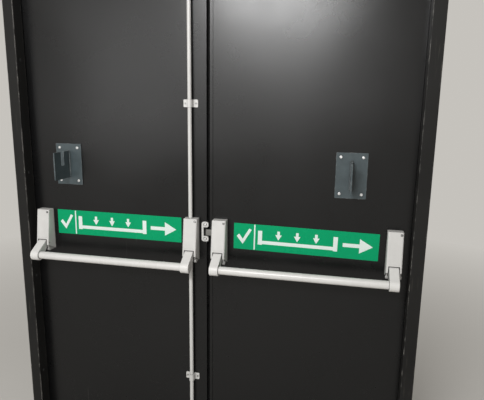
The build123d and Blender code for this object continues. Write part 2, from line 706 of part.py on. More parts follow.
def rod(start, shoulder, tip):
    """A tube from `start` to `shoulder` with a solid tip that ends at `tip`."""
    way = 1 if tip > start else -1
    with BuildPart() as bar:
        with BuildSketch(Plane.XY.offset(start)):
            with Locations((ROD_X, -ROD_DEPTH)):
                Circle(ROD_RADIUS)
        extrude(amount=shoulder - start)
        with BuildSketch(Plane.XY.offset(shoulder)):
            with Locations((ROD_X, -ROD_DEPTH)):
                Circle(ROD_TIP_RADIUS)
        extrude(amount=tip - shoulder)
        with BuildSketch(Plane.XY.offset(start)):
            with Locations((ROD_X, -ROD_DEPTH)):
                Circle(ROD_RADIUS - ROD_WALL)
        extrude(amount=shoulder - start - way * ROD_SHOULDER, mode=Mode.SUBTRACT)
        chamfer(bar.edges().filter_by(GeomType.CIRCLE).sort_by(lambda e: way * e.center().Z)[-1], ROD_WALL)
    return bar.part


rod_top = HEAD_SOFFIT + ROD_THROW
top_shoulder = HEAD_SOFFIT - ROD_SHOULDER
save(rod(HEAD_Z + TOP_ROD_START, top_shoulder, rod_top), "top_rod")
rod_bottom = THRESHOLD_PLATE + ROD_FLOOR_GAP
bottom_shoulder = THRESHOLD_STOP + ROD_THROW
save(rod(HEAD_Z + BOTTOM_ROD_START, bottom_shoulder, rod_bottom), "bottom_rod")


def rod_guide(height):
    inside = ROD_RADIUS + GUIDE_CLEARANCE
    outside = inside + GUIDE_SHEET
    saddle_align = (Align.CENTER, Align.MIN)
    with BuildPart() as guide:
        with BuildSketch(Plane.XY.offset(height - GUIDE_HEIGHT / 2)):
            with Locations((ROD_X, -ROD_DEPTH)):
                Circle(outside)
                Rectangle(2 * outside, ROD_DEPTH, align=saddle_align)
            with Locations((ROD_X, -GUIDE_SHEET)):
                Rectangle(GUIDE_WIDTH, GUIDE_SHEET, align=saddle_align)
            with Locations((ROD_X, -ROD_DEPTH)):
                Circle(inside, mode=Mode.SUBTRACT)
                Rectangle(2 * inside, ROD_DEPTH, align=saddle_align, mode=Mode.SUBTRACT)
        extrude(amount=GUIDE_HEIGHT)
        ends = guide.edges().filter_by(Axis.Y).filter_by(
            lambda e: abs(e.center().X - ROD_X) > GUIDE_WIDTH / 2 - 0.1
        )
        fillet(ends, GUIDE_ROUND)
        for dx in (-GUIDE_SCREW_OFFSET, GUIDE_SCREW_OFFSET):
            with BuildSketch(push_plane(ROD_X + dx, height)):
                Circle(SMALL_SCREW[1] + SCREW_HOLE_PLAY)
            extrude(amount=GUIDE_SHEET, mode=Mode.SUBTRACT)
    return guide.part


for place, height in zip(("top", "upper", "lower", "bottom"), ROD_GUIDES):
    save(rod_guide(height), f"{place}_rod_guide")

with BuildPart() as latch_keeper:
    strike_width = STRIKE_LEFT + STRIKE_RIGHT
    pad_height = (STRIKE_HEIGHT - STRIKE_MOUTH) / 2
    with BuildSketch(push_plane((STRIKE_RIGHT - STRIKE_LEFT) / 2, STRIKE_Z)) as outline:
        with Locations((0, STRIKE_PAD_Z), (0, -STRIKE_PAD_Z)):
            RectangleRounded(strike_width, pad_height, STRIKE_ROUND)
        with Locations((-(strike_width - STRIKE_BAR) / 2, 0)):
            Rectangle(STRIKE_BAR, STRIKE_HEIGHT - 2 * STRIKE_ROUND)
    extrude(amount=STRIKE_THICKNESS)
    for dz in (-STRIKE_PAD_Z, STRIKE_PAD_Z):
        with BuildSketch(push_plane(-STRIKE_SCREW_X, STRIKE_Z + dz)):
            Circle(LARGE_SCREW[1] + SCREW_HOLE_PLAY)
        extrude(amount=STRIKE_THICKNESS, mode=Mode.SUBTRACT)
save(latch_keeper.part, "latch_keeper")

with BuildPart() as latch_bolt:
    with BuildSketch(Plane.XY.offset(STRIKE_Z - LATCH_HEIGHT / 2)):
        with BuildLine():
            Polyline(
                (-LATCH_REACH, -LATCH_PLAY),
                (LATCH_TAIL, -LATCH_PLAY),
                (LATCH_TAIL, -LATCH_PLAY - LATCH_THICKNESS),
                (-LATCH_REACH + LATCH_BEVEL, -LATCH_PLAY - LATCH_THICKNESS),
                (-LATCH_REACH, -LATCH_PLAY - LATCH_SLOT_CLEARANCE),
                close=True,
            )
        make_face()
    extrude(amount=LATCH_HEIGHT)
save(latch_bolt.part, "latch_bolt")


# Brackets, signs and screws

def bar_bracket(x):
    with BuildPart() as bracket:
        with BuildSketch(push_plane(x, BRACKET_HEIGHT)):
            RectangleRounded(BRACKET_PLATE_WIDTH, BRACKET_PLATE_HEIGHT, BRACKET_ROUND)
            with GridLocations(2 * BRACKET_SCREW_X, 2 * BRACKET_SCREW_Z, 2, 2):
                Circle(LARGE_SCREW[1] + SCREW_HOLE_PLAY, mode=Mode.SUBTRACT)
        extrude(amount=BRACKET_PLATE)
        half = FIN_HEIGHT / 2
        with BuildSketch(side_plane(x - FIN_THICKNESS / 2, BRACKET_HEIGHT)) as fin:
            fin_align = (Align.MIN, Align.CENTER)
            with Locations((-FIN_REACH, 0)):
                Rectangle(FIN_REACH, FIN_HEIGHT, align=fin_align)
            fillet(fin.vertices().group_by(Axis.X)[0], FIN_ROUND)
            with Locations((-NOTCH_CENTRE, half)):
                Rectangle(NOTCH_WIDTH, 2 * NOTCH_DEPTH, mode=Mode.SUBTRACT)
            floor = fin.vertices().filter_by(lambda v: abs(v.Y - half + NOTCH_DEPTH) < FIN_ROUND)
            fillet(floor, FIN_ROUND)
        extrude(amount=FIN_THICKNESS)
        for turn in (-1, 1):
            with BuildSketch(Plane.XY.offset(BRACKET_HEIGHT - half)):
                corner = (x + turn * FIN_THICKNESS / 2, -BRACKET_PLATE)
                with BuildLine():
                    Polyline(
                        corner,
                        (corner[0] + turn * WELD_LEG, corner[1]),
                        (corner[0], corner[1] - WELD_LEG),
                        close=True,
                    )
                make_face()
            extrude(amount=FIN_HEIGHT)
    return bracket.part


def sign_plate(x, z, tilt):
    with BuildPart() as plate:
        with BuildSketch(push_plane(x, z, 0, tilt)):
            RectangleRounded(SIGN_LENGTH, SIGN_HEIGHT, SIGN_ROUND)
        extrude(amount=SIGN_THICKNESS)
    return plate.part


def arrow(x, y, turn, length, thick, head):
    """A flat arrow that starts at x, y and points along `turn` degrees."""
    head_radius = head / 3 * 2
    with Locations(Location((x, y, 0), (0, 0, turn))):
        with Locations((0, 0)):
            Rectangle(length - head, thick, align=(Align.MIN, Align.CENTER))
        with Locations((length - head_radius, 0)):
            RegularPolygon(head_radius, 3)


def sign_marks(x, z, tilt):
    """A tick, a dividing line and a plain drawing of a hand-high bar with arrows."""
    left = -SIGN_LENGTH / 2
    with BuildPart() as marks:
        with BuildSketch(push_plane(x, z, SIGN_THICKNESS, tilt)):
            with Locations((left + DIVIDER_OFFSET, 0)):
                Rectangle(DIVIDER_WIDTH, SIGN_HEIGHT - 2 * SIGN_ROUND)
            tick = left + DIVIDER_OFFSET / 2
            with BuildLine():
                Polyline(
                    (tick - TICK_STROKE / 2, -TICK_FOOT),
                    (tick - 3 * TICK_STROKE, 0),
                    (tick - 2 * TICK_STROKE, TICK_STROKE),
                    (tick - TICK_STROKE / 2, -TICK_STROKE),
                    (tick + 2 * TICK_STROKE, TICK_RISE),
                    (tick + 3 * TICK_STROKE, TICK_RISE - TICK_STROKE / 2),
                    close=True,
                )
            make_face()
            bar_left = left + DIVIDER_OFFSET + DRAWN_BAR_START
            bar_right = SIGN_LENGTH / 2 - DRAWN_BAR_END
            middle = (bar_left + bar_right) / 2
            with Locations((bar_left, 0), (bar_right, 0)):
                Rectangle(DRAWN_HEAD_WIDTH, DRAWN_HEAD_HEIGHT)
            with Locations((middle, -DRAWN_BAR_DROP)):
                Rectangle(bar_right - bar_left, DRAWN_BAR_THICKNESS)
            for dx in (-SMALL_ARROW_SPACING, 0, SMALL_ARROW_SPACING):
                arrow(middle + dx, SMALL_ARROW_RISE, -90, *SMALL_ARROW)
            arrow(SIGN_LENGTH / 2 - BIG_ARROW_START, 0, 0, *BIG_ARROW)
        extrude(amount=SIGN_MARK)
    return marks.part


def screw_group(planes, size, reach):
    """Pan-head screws, each with a cross recess, their seats on the given planes."""
    head_radius, shank_radius, head_height = size
    with BuildPart() as screws:
        for plane in planes:
            with BuildSketch(plane):
                Circle(head_radius)
            extrude(amount=head_height)
            rim = screws.edges(Select.LAST).filter_by(GeomType.CIRCLE).sort_by(Axis.Y)[0]
            fillet(rim, head_height * SCREW_DOME)
            with BuildSketch(plane):
                Circle(shank_radius)
            extrude(amount=-reach)
            with BuildSketch(plane.offset(head_height)):
                Rectangle(head_radius, head_radius / 4)
                Rectangle(head_radius / 4, head_radius)
            extrude(amount=-head_height * SCREW_RECESS, mode=Mode.SUBTRACT)
    return screws.part


def seats(places):
    return [push_plane(x, z, seat) for x, z, seat in places]


def cover_seats(centres):
    return [front_plane(x + HEAD_WIDTH / 2 - COVER_SCREW_INSET, COVER_SCREW_DROP) for x in centres]


LEFT_SIGN = (-(OUTER_HEAD_X + ROD_HEAD_OFFSET) / 2, BAR_HEIGHT + LEFT_SIGN_RISE, LEFT_SIGN_TILT)
RIGHT_SIGN = ((OUTER_HEAD_X + LATCH_HEAD_OFFSET) / 2, BAR_HEIGHT + RIGHT_SIGN_RISE, RIGHT_SIGN_TILT)
LEFT_SMALL = seats(GUIDE_SCREWS) + cover_seats([-OUTER_HEAD_X, -ROD_HEAD_OFFSET])
RIGHT_SMALL = cover_seats([LATCH_HEAD_OFFSET, OUTER_HEAD_X])
for leaf_name, bracket_x, sign, large_screws, small_seats in (
    ("left", LEFT_BRACKET_X, LEFT_SIGN, LEFT_LARGE, LEFT_SMALL),
    ("right", RIGHT_BRACKET_X, RIGHT_SIGN, RIGHT_LARGE, RIGHT_SMALL),
):
    save(bar_bracket(bracket_x), f"{leaf_name}_bar_bracket")
    save(sign_plate(*sign), f"{leaf_name}_sign_plate")
    save(sign_marks(*sign), f"{leaf_name}_sign_marks")
    large = screw_group(seats(large_screws), LARGE_SCREW, STRIKE_THICKNESS + SCREW_REACH)
    save(large, f"{leaf_name}_large_screws")
    small = screw_group(small_seats, SMALL_SCREW, GUIDE_SHEET + SCREW_REACH)
    save(small, f"{leaf_name}_small_screws")
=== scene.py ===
import json
import math

import bpy
from bpy.props import FloatProperty, FloatVectorProperty, IntProperty, PointerProperty
from mathutils import Matrix, Vector


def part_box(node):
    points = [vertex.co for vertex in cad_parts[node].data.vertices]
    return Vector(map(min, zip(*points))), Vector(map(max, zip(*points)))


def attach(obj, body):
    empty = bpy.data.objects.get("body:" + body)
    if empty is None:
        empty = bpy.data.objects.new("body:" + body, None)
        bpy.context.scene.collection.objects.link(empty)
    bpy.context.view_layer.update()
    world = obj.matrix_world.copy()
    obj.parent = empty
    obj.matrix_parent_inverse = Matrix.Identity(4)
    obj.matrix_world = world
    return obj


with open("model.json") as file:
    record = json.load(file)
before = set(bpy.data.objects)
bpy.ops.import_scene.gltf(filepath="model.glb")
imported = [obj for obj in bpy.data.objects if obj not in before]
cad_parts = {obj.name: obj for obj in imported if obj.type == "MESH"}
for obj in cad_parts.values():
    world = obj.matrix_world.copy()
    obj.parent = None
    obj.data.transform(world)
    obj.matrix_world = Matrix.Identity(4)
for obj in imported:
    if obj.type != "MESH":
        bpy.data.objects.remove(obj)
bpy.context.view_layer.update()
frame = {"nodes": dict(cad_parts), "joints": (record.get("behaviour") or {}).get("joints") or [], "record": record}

bl_info = {
    "name": "Steel Double Door",
    "version": (1, 0, 0),
    "blender": (4, 5, 0),
    "location": "3D View > Sidebar > Steel Door",
    "description": "Paints a steel double door, adds its welds, ribs, rims and plugs, and sets up its studio",
    "category": "Object",
}


# Fixed values

SIDES = ("left", "right")
PLACES = ("bottom", "middle", "top")
HEADS = {
    "left_outer": "left_leaf",
    "rod": "left_leaf",
    "latch": "right_leaf",
    "right_outer": "right_leaf",
}
BAR_ENDS = {"left": ("left_outer", "rod"), "right": ("latch", "right_outer")}
CREASE = 40
NO_CREASE = 180
MILLIMETRES = 1000


# Settings

def tint(name, description, default):
    """A colour that a user can pick."""
    return FloatVectorProperty(
        name=name, description=description, subtype="COLOR", size=3, min=0.0, max=1.0, default=default
    )


def number(name, description, default, low, high, **kind):
    return FloatProperty(name=name, description=description, default=default, min=low, max=high, **kind)


def length(name, description, default, low, high):
    """A size in metres and its limits."""
    return number(name, description, default, low, high, subtype="DISTANCE", unit="LENGTH")


def factor(name, description, default):
    """A share from none to all."""
    return number(name, description, default, 0.0, 1.0, subtype="FACTOR")


def watts(name, description, default):
    """The power of a lamp in watts."""
    return number(name, description, default, 0.0, 500.0, unit="POWER")


def angle(name, description, degrees):
    """A turn, given in degrees."""
    return FloatProperty(
        name=name, description=description, subtype="ANGLE", unit="ROTATION", default=math.radians(degrees)
    )


class SteelDoorPaint(bpy.types.PropertyGroup):
    leaf_color: tint("Leaf Paint", "Satin black of the two leaves", (0.0036, 0.0036, 0.0038))
    leaf_roughness: factor("Leaf Roughness", "How widely the satin paint spreads a reflection", 0.27)
    frame_color: tint("Frame Paint", "Black of the folded frame and the hinges", (0.0180, 0.0176, 0.0168))
    chip_color: tint("Chipped Paint", "Pale undercoat on the frame's chipped edges", (0.50, 0.48, 0.445))
    cover_color: tint("Powder Coat", "Light warm grey of covers, arms, bars and rods", (0.66, 0.652, 0.634))
    grime_color: tint("Hand Grime", "Grey brown of handled edges on the light pieces", (0.20, 0.18, 0.15))
    # painted shade: the near black that darkens gaps and corners
    recess_shade_color: tint("Recess Grime", "Near black of the dirt in gaps and corners", (0.020, 0.018, 0.016))
    bracket_color: tint("Bracket Paint", "Dark blue grey of the two bar brackets", (0.062, 0.084, 0.092))
    sign_green: tint("Sign Green", "Green ground of the two signs", (0.001, 0.340, 0.138))
    sign_white: tint("Sign White", "White of the signs' marks", (0.76, 0.86, 0.815))


class SteelDoorDetail(bpy.types.PropertyGroup):
    weld_radius: length("Weld Radius", "Radius of one scale of a bracket's weld", 0.0032, 0.001, 0.006)
    weld_pitch: length("Weld Pitch", "Distance from one scale of the weld to the next", 0.0026, 0.001, 0.006)
    fin_height: length("Fin Height", "Height of the fin that the weld runs along", 0.122, 0.05, 0.2)
    fin_thickness: length("Fin Thickness", "Thickness of the fin between its two welds", 0.005, 0.002, 0.01)
    cover_fall: length("Cover Fall", "Height of the sloping front of a head cover", 0.1635, 0.1, 0.25)
    cover_top_depth: length("Cover Top Depth", "How far a cover stands out at its top", 0.038, 0.02, 0.08)
    cover_foot_depth: length("Cover Foot Depth", "How far a cover stands out at its foot", 0.060, 0.03, 0.10)
    rib_drop: length("Rib Drop", "How far the raised rib lies below the top of its cover", 0.130, 0.05, 0.15)
    rib_length: length("Rib Length", "Length of the raised rib across each cover", 0.044, 0.01, 0.06)
    hole_depth: length("Side Hole Depth", "Distance of the side holes from the leaf", 0.049, 0.02, 0.06)
    hole_drop: length("Side Hole Drop", "How far a cover's side holes lie below its top", 0.1545, 0.10, 0.18)
    hole_radius: length("Side Hole Radius", "Radius of a side hole's burr ring", 0.0039, 0.002, 0.008)
    ring_thickness: length("Burr Thickness", "Thickness of a side hole's burr ring", 0.0006, 0.0002, 0.002)
    # painted shadow: thickness of the dark ring laid where a bar enters its arm
    shadow_line_thickness: length("Bar Painted Shadow", "Thickness of the dark line round a bar's end", 0.0010, 0.0002, 0.002)
    screw_inset: length("Screw Inset", "Distance of a cover's screw from its right side", 0.009, 0.005, 0.03)
    screw_drop: length("Screw Drop", "How far a cover's screw lies below its top", 0.011, 0.005, 0.05)
    # painted shade: the rim settings below size the dark rings of painted shade round the screws
    small_rim_radius: length(
        "Small Rim Radius", "Radius of the line of dirt round a cover's screw", 0.0043, 0.002, 0.008
    )
    large_rim_radius: length(
        "Large Rim Radius", "Radius of the line of dirt round a keeper's screw", 0.0064, 0.004, 0.010
    )
    rim_thickness: length("Rim Thickness", "Thickness of the dirt round the screws", 0.0009, 0.0002, 0.002)
    keeper_screw_rise: length(
        "Keeper Screw Rise", "How far the keeper's screws lie above or below the bolt", 0.032, 0.01, 0.04
    )
    keeper_screw_side: length(
        "Keeper Screw Side", "Distance of the keeper's screws from the door's middle", 0.012, 0.005, 0.03
    )
    slot_drop: length("Slot Drop", "How far a cover's slot starts below its top", 0.139, 0.08, 0.16)
    slot_play: length("Slot Play", "Room between an arm and the side of its slot", 0.0018, 0.0005, 0.005)
    # painted shade: width and thickness of the dark strip round a cover's slot
    shadow_strip_width: length("Shadow Strip Width", "Width of the dark strip round a cover's slot", 0.0017, 0.0005, 0.004)
    shadow_strip_thickness: length("Shadow Strip Thickness", "Thickness of the strip round a slot", 0.0012, 0.0005, 0.004)
    cap_height: length("Hinge Cap Height", "Height of the domed caps of the hinges", 0.0018, 0.0005, 0.004)
    plug_radius: length("Plug Radius", "Radius of the plugs over the frame's fixings", 0.0075, 0.004, 0.012)
    plug_height: length("Plug Height", "How far the plugs stand out of the reveal", 0.0015, 0.0005, 0.004)
    lip_reach: length("Lip Reach", "How far the soft lip stands out of its seal", 0.0020, 0.0005, 0.0023)
    lip_thickness: length("Lip Thickness", "Thickness of the soft lip at its root", 0.0016, 0.0005, 0.003)
    rib_height: length("Rib Height", "How far the rib stands out of the cover", 0.0007, 0.0002, 0.002)


class SteelDoorStudio(bpy.types.PropertyGroup):
    floor_color: tint("Floor", "Colour of the studio floor", (0.66, 0.645, 0.615))
    fade_start: length(
        "Fade Start", "Distance from the door's middle at which the floor starts to fade", 0.8, 0.0, 10.0
    )
    fade_end: length(
        "Fade End", "Distance from the door's middle at which the floor has faded", 4.5, 0.5, 12.0
    )
    fade_share: factor("Fade Share", "How fully the floor fades into the surround", 1.0)
    surround_color: tint("Surround", "Colour of the studio all round", (0.56, 0.54, 0.505))
    surround_strength: number(
        "Surround Light", "How strongly the surround lights the door", 0.60, 0.0, 2.0, subtype="FACTOR"
    )
    key_power: watts("Ceiling Light", "Power of the ceiling light in front of the door", 58.0)
    far_power: watts("Far Wall Light", "Power of the broad light far in front of the door", 20.0)
    fill_power: watts("Fill Light", "Power of the large soft light on the left", 11.0)
    camera_place: FloatVectorProperty(
        name="Camera Place", description="Where the camera stands", subtype="TRANSLATION",
        unit="LENGTH", size=3, default=(0.5707, -1.9545, 1.6151),
    )
    camera_heading: angle("Camera Heading", "Turn of the camera to the right of straight ahead", -12.12)
    camera_dip: angle("Camera Dip", "How far the camera looks down", 11.218)
    camera_roll: angle("Camera Roll", "Tilt of the camera about its line of sight", -0.764)
    camera_lens: number(
        "Focal Length", "Focal length on a sensor 36 mm wide, in millimetres",
        35.357, 10.0, 200.0, subtype="DISTANCE_CAMERA", unit="CAMERA",
    )
    edge_samples: IntProperty(
        name="Edge Samples", description="Samples that find the worn edges", min=2, max=16, default=4
    )


# Node helpers

def put(tree, kind, inputs=None, **options):
    """Adds a node. `inputs` maps its sockets to values, or to the sockets that feed them."""
    item = tree.nodes.new("ShaderNode" + kind)
    for name, value in options.items():
        setattr(item, name, value)
    for key, value in (inputs or {}).items():
        if isinstance(value, bpy.types.NodeSocket):
            tree.links.new(value, item.inputs[key])
        else:
            item.inputs[key].default_value = value
    return item


def math_node(tree, operation, first, second=0.0, clamp=False):
    return put(tree, "Math", {0: first, 1: second}, operation=operation, use_clamp=clamp).outputs[0]


def remap(tree, value, low, high, to_low=0.0, to_high=1.0):
    sockets = {"Value": value, "From Min": low, "From Max": high, "To Min": to_low, "To Max": to_high}
    return put(tree, "MapRange", sockets).outputs[0]


def blend_color(tree, mask, first, second):
    return put(tree, "Mix", {0: mask, 6: first, 7: second}, data_type="RGBA").outputs[2]


def noise(tree, place, scale, detail, roughness):
    sockets = {"Vector": place, "Scale": scale, "Detail": detail, "Roughness": roughness}
    return put(tree, "TexNoise", sockets).outputs[0]


def object_place(tree):
    """Where a point lies on the door, in metres."""
    return put(tree, "TexCoord").outputs["Object"]


def opaque(color, share=1.0):
    return (color[0] * share, color[1] * share, color[2] * share, 1.0)


def label(word):
    """A plain name from a word in code, such as Base Color from base_color."""
    return word.replace("_", " ").title().replace("Ior", "IOR")


def once(build):
    """Builds a shader group the first time it is asked for, named as the function that draws it."""
    name = label(build.__name__)
    return lambda: bpy.data.node_groups.get(name) or build(name)


def start_group(name, inputs, outputs):
    """A new shader group with named float sockets: the group, what it is given and what it puts out."""
    group = bpy.data.node_groups.new(name, "ShaderNodeTree")
    for title, default in inputs:
        socket = group.interface.new_socket(title, in_out="INPUT", socket_type="NodeSocketFloat")
        socket.default_value = default
    for title in outputs:
        group.interface.new_socket(title, in_out="OUTPUT", socket_type="NodeSocketFloat")
    return group, group.nodes.new("NodeGroupInput").outputs, group.nodes.new("NodeGroupOutput").inputs


@once
def paint_grain(name):
    """Slow blotches, the orange peel of sprayed paint and fine specks."""
    inputs = (("Blotch Scale", 3.0), ("Peel Scale", 300.0), ("Speck Scale", 900.0))
    group, given, made = start_group(name, inputs, ("Blotch", "Peel", "Speck"))
    place = object_place(group)
    blotch = noise(group, place, given[0], detail=5.0, roughness=0.6)
    peel = noise(group, place, given[1], detail=2.0, roughness=0.5)
    speck = noise(group, place, given[2], detail=3.0, roughness=0.8)
    group.links.new(remap(group, blotch, 0.3, 0.7), made[0])
    group.links.new(peel, made[1])
    group.links.new(remap(group, speck, 0.62, 0.74), made[2])
    return group


@once
def edge_wear(name):
    """Finds convex and concave edges and breaks them up with noise."""
    inputs = (("Width", 0.002), ("Amount", 0.5), ("Break Scale", 40.0))
    group, given, made = start_group(name, inputs, ("Wear",))
    samples = bpy.context.scene.steel_door_studio.edge_samples
    soft = put(group, "Bevel", {"Radius": given[0]}, samples=samples).outputs[0]
    flat = put(group, "NewGeometry").outputs["Normal"]
    facing = put(group, "VectorMath", {0: soft, 1: flat}, operation="DOT_PRODUCT").outputs["Value"]
    edge = remap(group, facing, 0.985, 0.86)
    grain = noise(group, object_place(group), given[2], detail=6.0, roughness=0.7)
    chance = remap(group, math_node(group, "ADD", grain, given[1]), 1.0, 1.12)
    group.links.new(math_node(group, "MULTIPLY", edge, chance, True), made[0])
    return group


@once
def scuff_marks(name):
    """Fine scratches in two directions, thinned by a slow noise."""
    group, given, made = start_group(name, (("Scale", 1.0), ("Amount", 0.5)), ("Scuff",))
    place = object_place(group)
    marks = []
    for turn, stretch in ((0.35, (90.0, 90.0, 5.0)), (-1.15, (120.0, 120.0, 4.0))):
        mapped = put(group, "Mapping", {"Vector": place, "Rotation": (0.0, turn, 0.0), "Scale": stretch})
        lines = noise(group, mapped.outputs[0], given[0], detail=1.0, roughness=0.4)
        marks.append(remap(group, lines, 0.70, 0.76))
    patch = math_node(group, "ADD", noise(group, place, scale=4.0, detail=3.0, roughness=0.6), given[1])
    both = math_node(group, "MAXIMUM", marks[0], marks[1])
    scuff = math_node(group, "MULTIPLY", both, remap(group, patch, 0.95, 1.15), True)
    group.links.new(scuff, made[0])
    return group


@once
def settled_dust(name):
    """Dust on faces that look up, with a ragged border."""
    group, given, made = start_group(name, (("Amount", 0.4),), ("Dust",))
    normal = put(group, "NewGeometry").outputs["Normal"]
    height = put(group, "SeparateXYZ", {0: normal}).outputs["Z"]
    up = remap(group, height, 0.25, 0.95)
    grain = noise(group, object_place(group), scale=60.0, detail=5.0, roughness=0.7)
    dust = math_node(group, "MULTIPLY", up, remap(group, grain, 0.25, 0.75, 0.4, 1.0))
    group.links.new(math_node(group, "MULTIPLY", dust, given[0], True), made[0])
    return group


@once
def recess_grime(name):
    """Painted shade in narrow slits and in corners, where little light comes in."""
    # painted shade: its Grime output darkens where ambient occlusion finds the surface closed in
    group, given, made = start_group(name, (("Reach", 0.012), ("Amount", 0.9)), ("Grime",))
    samples = bpy.context.scene.steel_door_studio.edge_samples
    openness = put(group, "AmbientOcclusion", {"Distance": given[0]}, samples=samples).outputs["AO"]
    closed = remap(group, openness, 0.78, 0.38)
    group.links.new(math_node(group, "MULTIPLY", closed, given[1], True), made[0])
    return group


def shown_rays(tree):
    """1 where the camera looks straight at something or sees it in gloss or glass, 0 for plain light."""
    path = put(tree, "LightPath").outputs
    mirrored = math_node(tree, "MAXIMUM", path["Is Glossy Ray"], path["Is Transmission Ray"])
    return math_node(tree, "MAXIMUM", path["Is Camera Ray"], mirrored)


def use(tree, group, **values):
    """Places a shader group with its own values and gives its outputs."""
    item = tree.nodes.new("ShaderNodeGroup")
    item.node_tree = group
    for name, value in values.items():
        item.inputs[label(name)].default_value = value
    return item.outputs


def new_material(name, **shader_values):
    """An empty material with a Principled shader whose plain values are set on its own sockets."""
    material = bpy.data.materials.new(name)
    material.use_nodes = True
    tree = material.node_tree
    tree.nodes.clear()
    shader = put(tree, "BsdfPrincipled", {label(name): value for name, value in shader_values.items()})
    output = put(tree, "OutputMaterial", {"Surface": shader.outputs[0]})
    output.is_active_output = True
    return material, tree, shader


def feed(tree, shader, **sockets):
    """Links sockets to the shader's colour, roughness and the like."""
    for name, socket in sockets.items():
        tree.links.new(socket, shader.inputs[label(name)])


def bumped(tree, height, distance, below=None):
    """A normal that follows a height, on top of another normal if one is given."""
    sockets = {"Height": height, "Distance": distance, "Strength": 1.0}
    if below is not None:
        sockets["Normal"] = below
    return put(tree, "Bump", sockets).outputs[0]


def mottled(tree, grain, color, low, high=1.0):
    """A colour that slow blotches shift between two shares of itself."""
    return blend_color(tree, grain["Blotch"], opaque(color, low), opaque(color, high))


def blotched(tree, grain, roughness, less, more):
    """A roughness that slow blotches lower by `less` or raise by `more`."""
    return remap(tree, grain["Blotch"], 0.0, 1.0, roughness - less, roughness + more)


def roughened(tree, rough, mask, rise):
    """A roughness that rises where a mask is 1."""
    return math_node(tree, "ADD", rough, math_node(tree, "MULTIPLY", mask, rise), True)


# Materials

def painted(
    name, color, roughness, specular=0.5, shade=0.75, blotch_scale=3.0, peel_scale=300.0, peel_depth=0.00008,
    wear_color=None, wear_width=0.0015, wear_amount=0.5, wear_break=40.0, wear_metal=0.0,
    scuff_color=None, scuff_amount=0.4, dust_color=None, dust_amount=0.3,
    recess_shade_color=None, recess_reach=0.012, recess_shade_amount=0.9,
):
    """Sprayed paint or powder coat with blotches, orange peel, worn edges, scuffs, dust, and painted shade in
    recesses.
    """
    material, tree, shader = new_material(name, specular_ior_level=specular)
    grain = use(tree, paint_grain(), blotch_scale=blotch_scale, peel_scale=peel_scale)
    surface = mottled(tree, grain, color, shade)
    rough = blotched(tree, grain, roughness, less=0.04, more=0.05)
    if scuff_color is not None:
        scuff = use(tree, scuff_marks(), amount=scuff_amount)["Scuff"]
        surface = blend_color(tree, scuff, surface, opaque(scuff_color))
        rough = roughened(tree, rough, scuff, rise=0.15)
    if wear_color is not None:
        wear = use(tree, edge_wear(), width=wear_width, amount=wear_amount, break_scale=wear_break)["Wear"]
        surface = blend_color(tree, wear, surface, opaque(wear_color))
        if wear_metal > 0:
            feed(tree, shader, metallic=math_node(tree, "MULTIPLY", wear, wear_metal))
    if dust_color is not None:
        dust = use(tree, settled_dust(), amount=dust_amount)["Dust"]
        surface = blend_color(tree, dust, surface, opaque(dust_color))
        rough = roughened(tree, rough, dust, rise=0.3)
    # painted shade: the recess colour darkens gaps and corners that light barely reaches
    if recess_shade_color is not None:
        recess = use(tree, recess_grime(), reach=recess_reach, amount=recess_shade_amount)["Grime"]
        surface = blend_color(tree, recess, surface, opaque(recess_shade_color))
    feed(tree, shader, base_color=surface, roughness=rough, normal=bumped(tree, grain["Peel"], peel_depth))
    return material


def leaf_paint(paint):
    """Satin black on slightly wavy sheet steel, with more scuffs at hand and foot height."""
    hand_height = 0.98
    hand_reach = 0.32
    foot_reach = 0.45
    full_touch = 0.05
    scuff_grey = (0.045, 0.043, 0.040, 1.0)
    speck_grey = (0.05, 0.048, 0.045, 1.0)
    wave_depth = 0.010
    peel_depth = 0.00012
    speck_share = 0.25
    material, tree, shader = new_material("Leaf Paint", specular_ior_level=0.40)
    grain = use(tree, paint_grain(), blotch_scale=1.6, peel_scale=220.0)
    place = object_place(tree)
    height = put(tree, "SeparateXYZ", {0: place}).outputs["Z"]
    from_hand = math_node(tree, "ABSOLUTE", math_node(tree, "SUBTRACT", height, hand_height))
    hand = remap(tree, from_hand, hand_reach, full_touch)
    foot = remap(tree, height, foot_reach, full_touch)
    touched = math_node(tree, "MAXIMUM", hand, foot)
    scuff = use(tree, scuff_marks(), amount=0.42)["Scuff"]
    marks = math_node(tree, "MULTIPLY", scuff, remap(tree, touched, 0.0, 1.0, 0.12, 0.8))
    smear = remap(tree, noise(tree, place, scale=7.0, detail=6.0, roughness=0.65), 0.5, 0.75)
    smears = math_node(tree, "MULTIPLY", smear, touched)
    specks = math_node(tree, "MULTIPLY", grain["Speck"], speck_share)
    wear = use(tree, edge_wear(), width=0.0012, amount=0.46)["Wear"]
    surface = mottled(tree, grain, paint.leaf_color, low=0.8, high=1.1)
    surface = blend_color(tree, marks, surface, scuff_grey)
    surface = blend_color(tree, specks, surface, speck_grey)
    surface = blend_color(tree, wear, surface, opaque(paint.chip_color, share=0.24))
    rough = blotched(tree, grain, paint.leaf_roughness, less=0.03, more=0.05)
    rough = roughened(tree, rough, smears, rise=0.10)
    waves = bumped(tree, noise(tree, place, scale=1.7, detail=1.0, roughness=0.4), wave_depth)
    normal = bumped(tree, grain["Peel"], peel_depth, below=waves)
    feed(tree, shader, base_color=surface, roughness=rough, normal=normal)
    return material


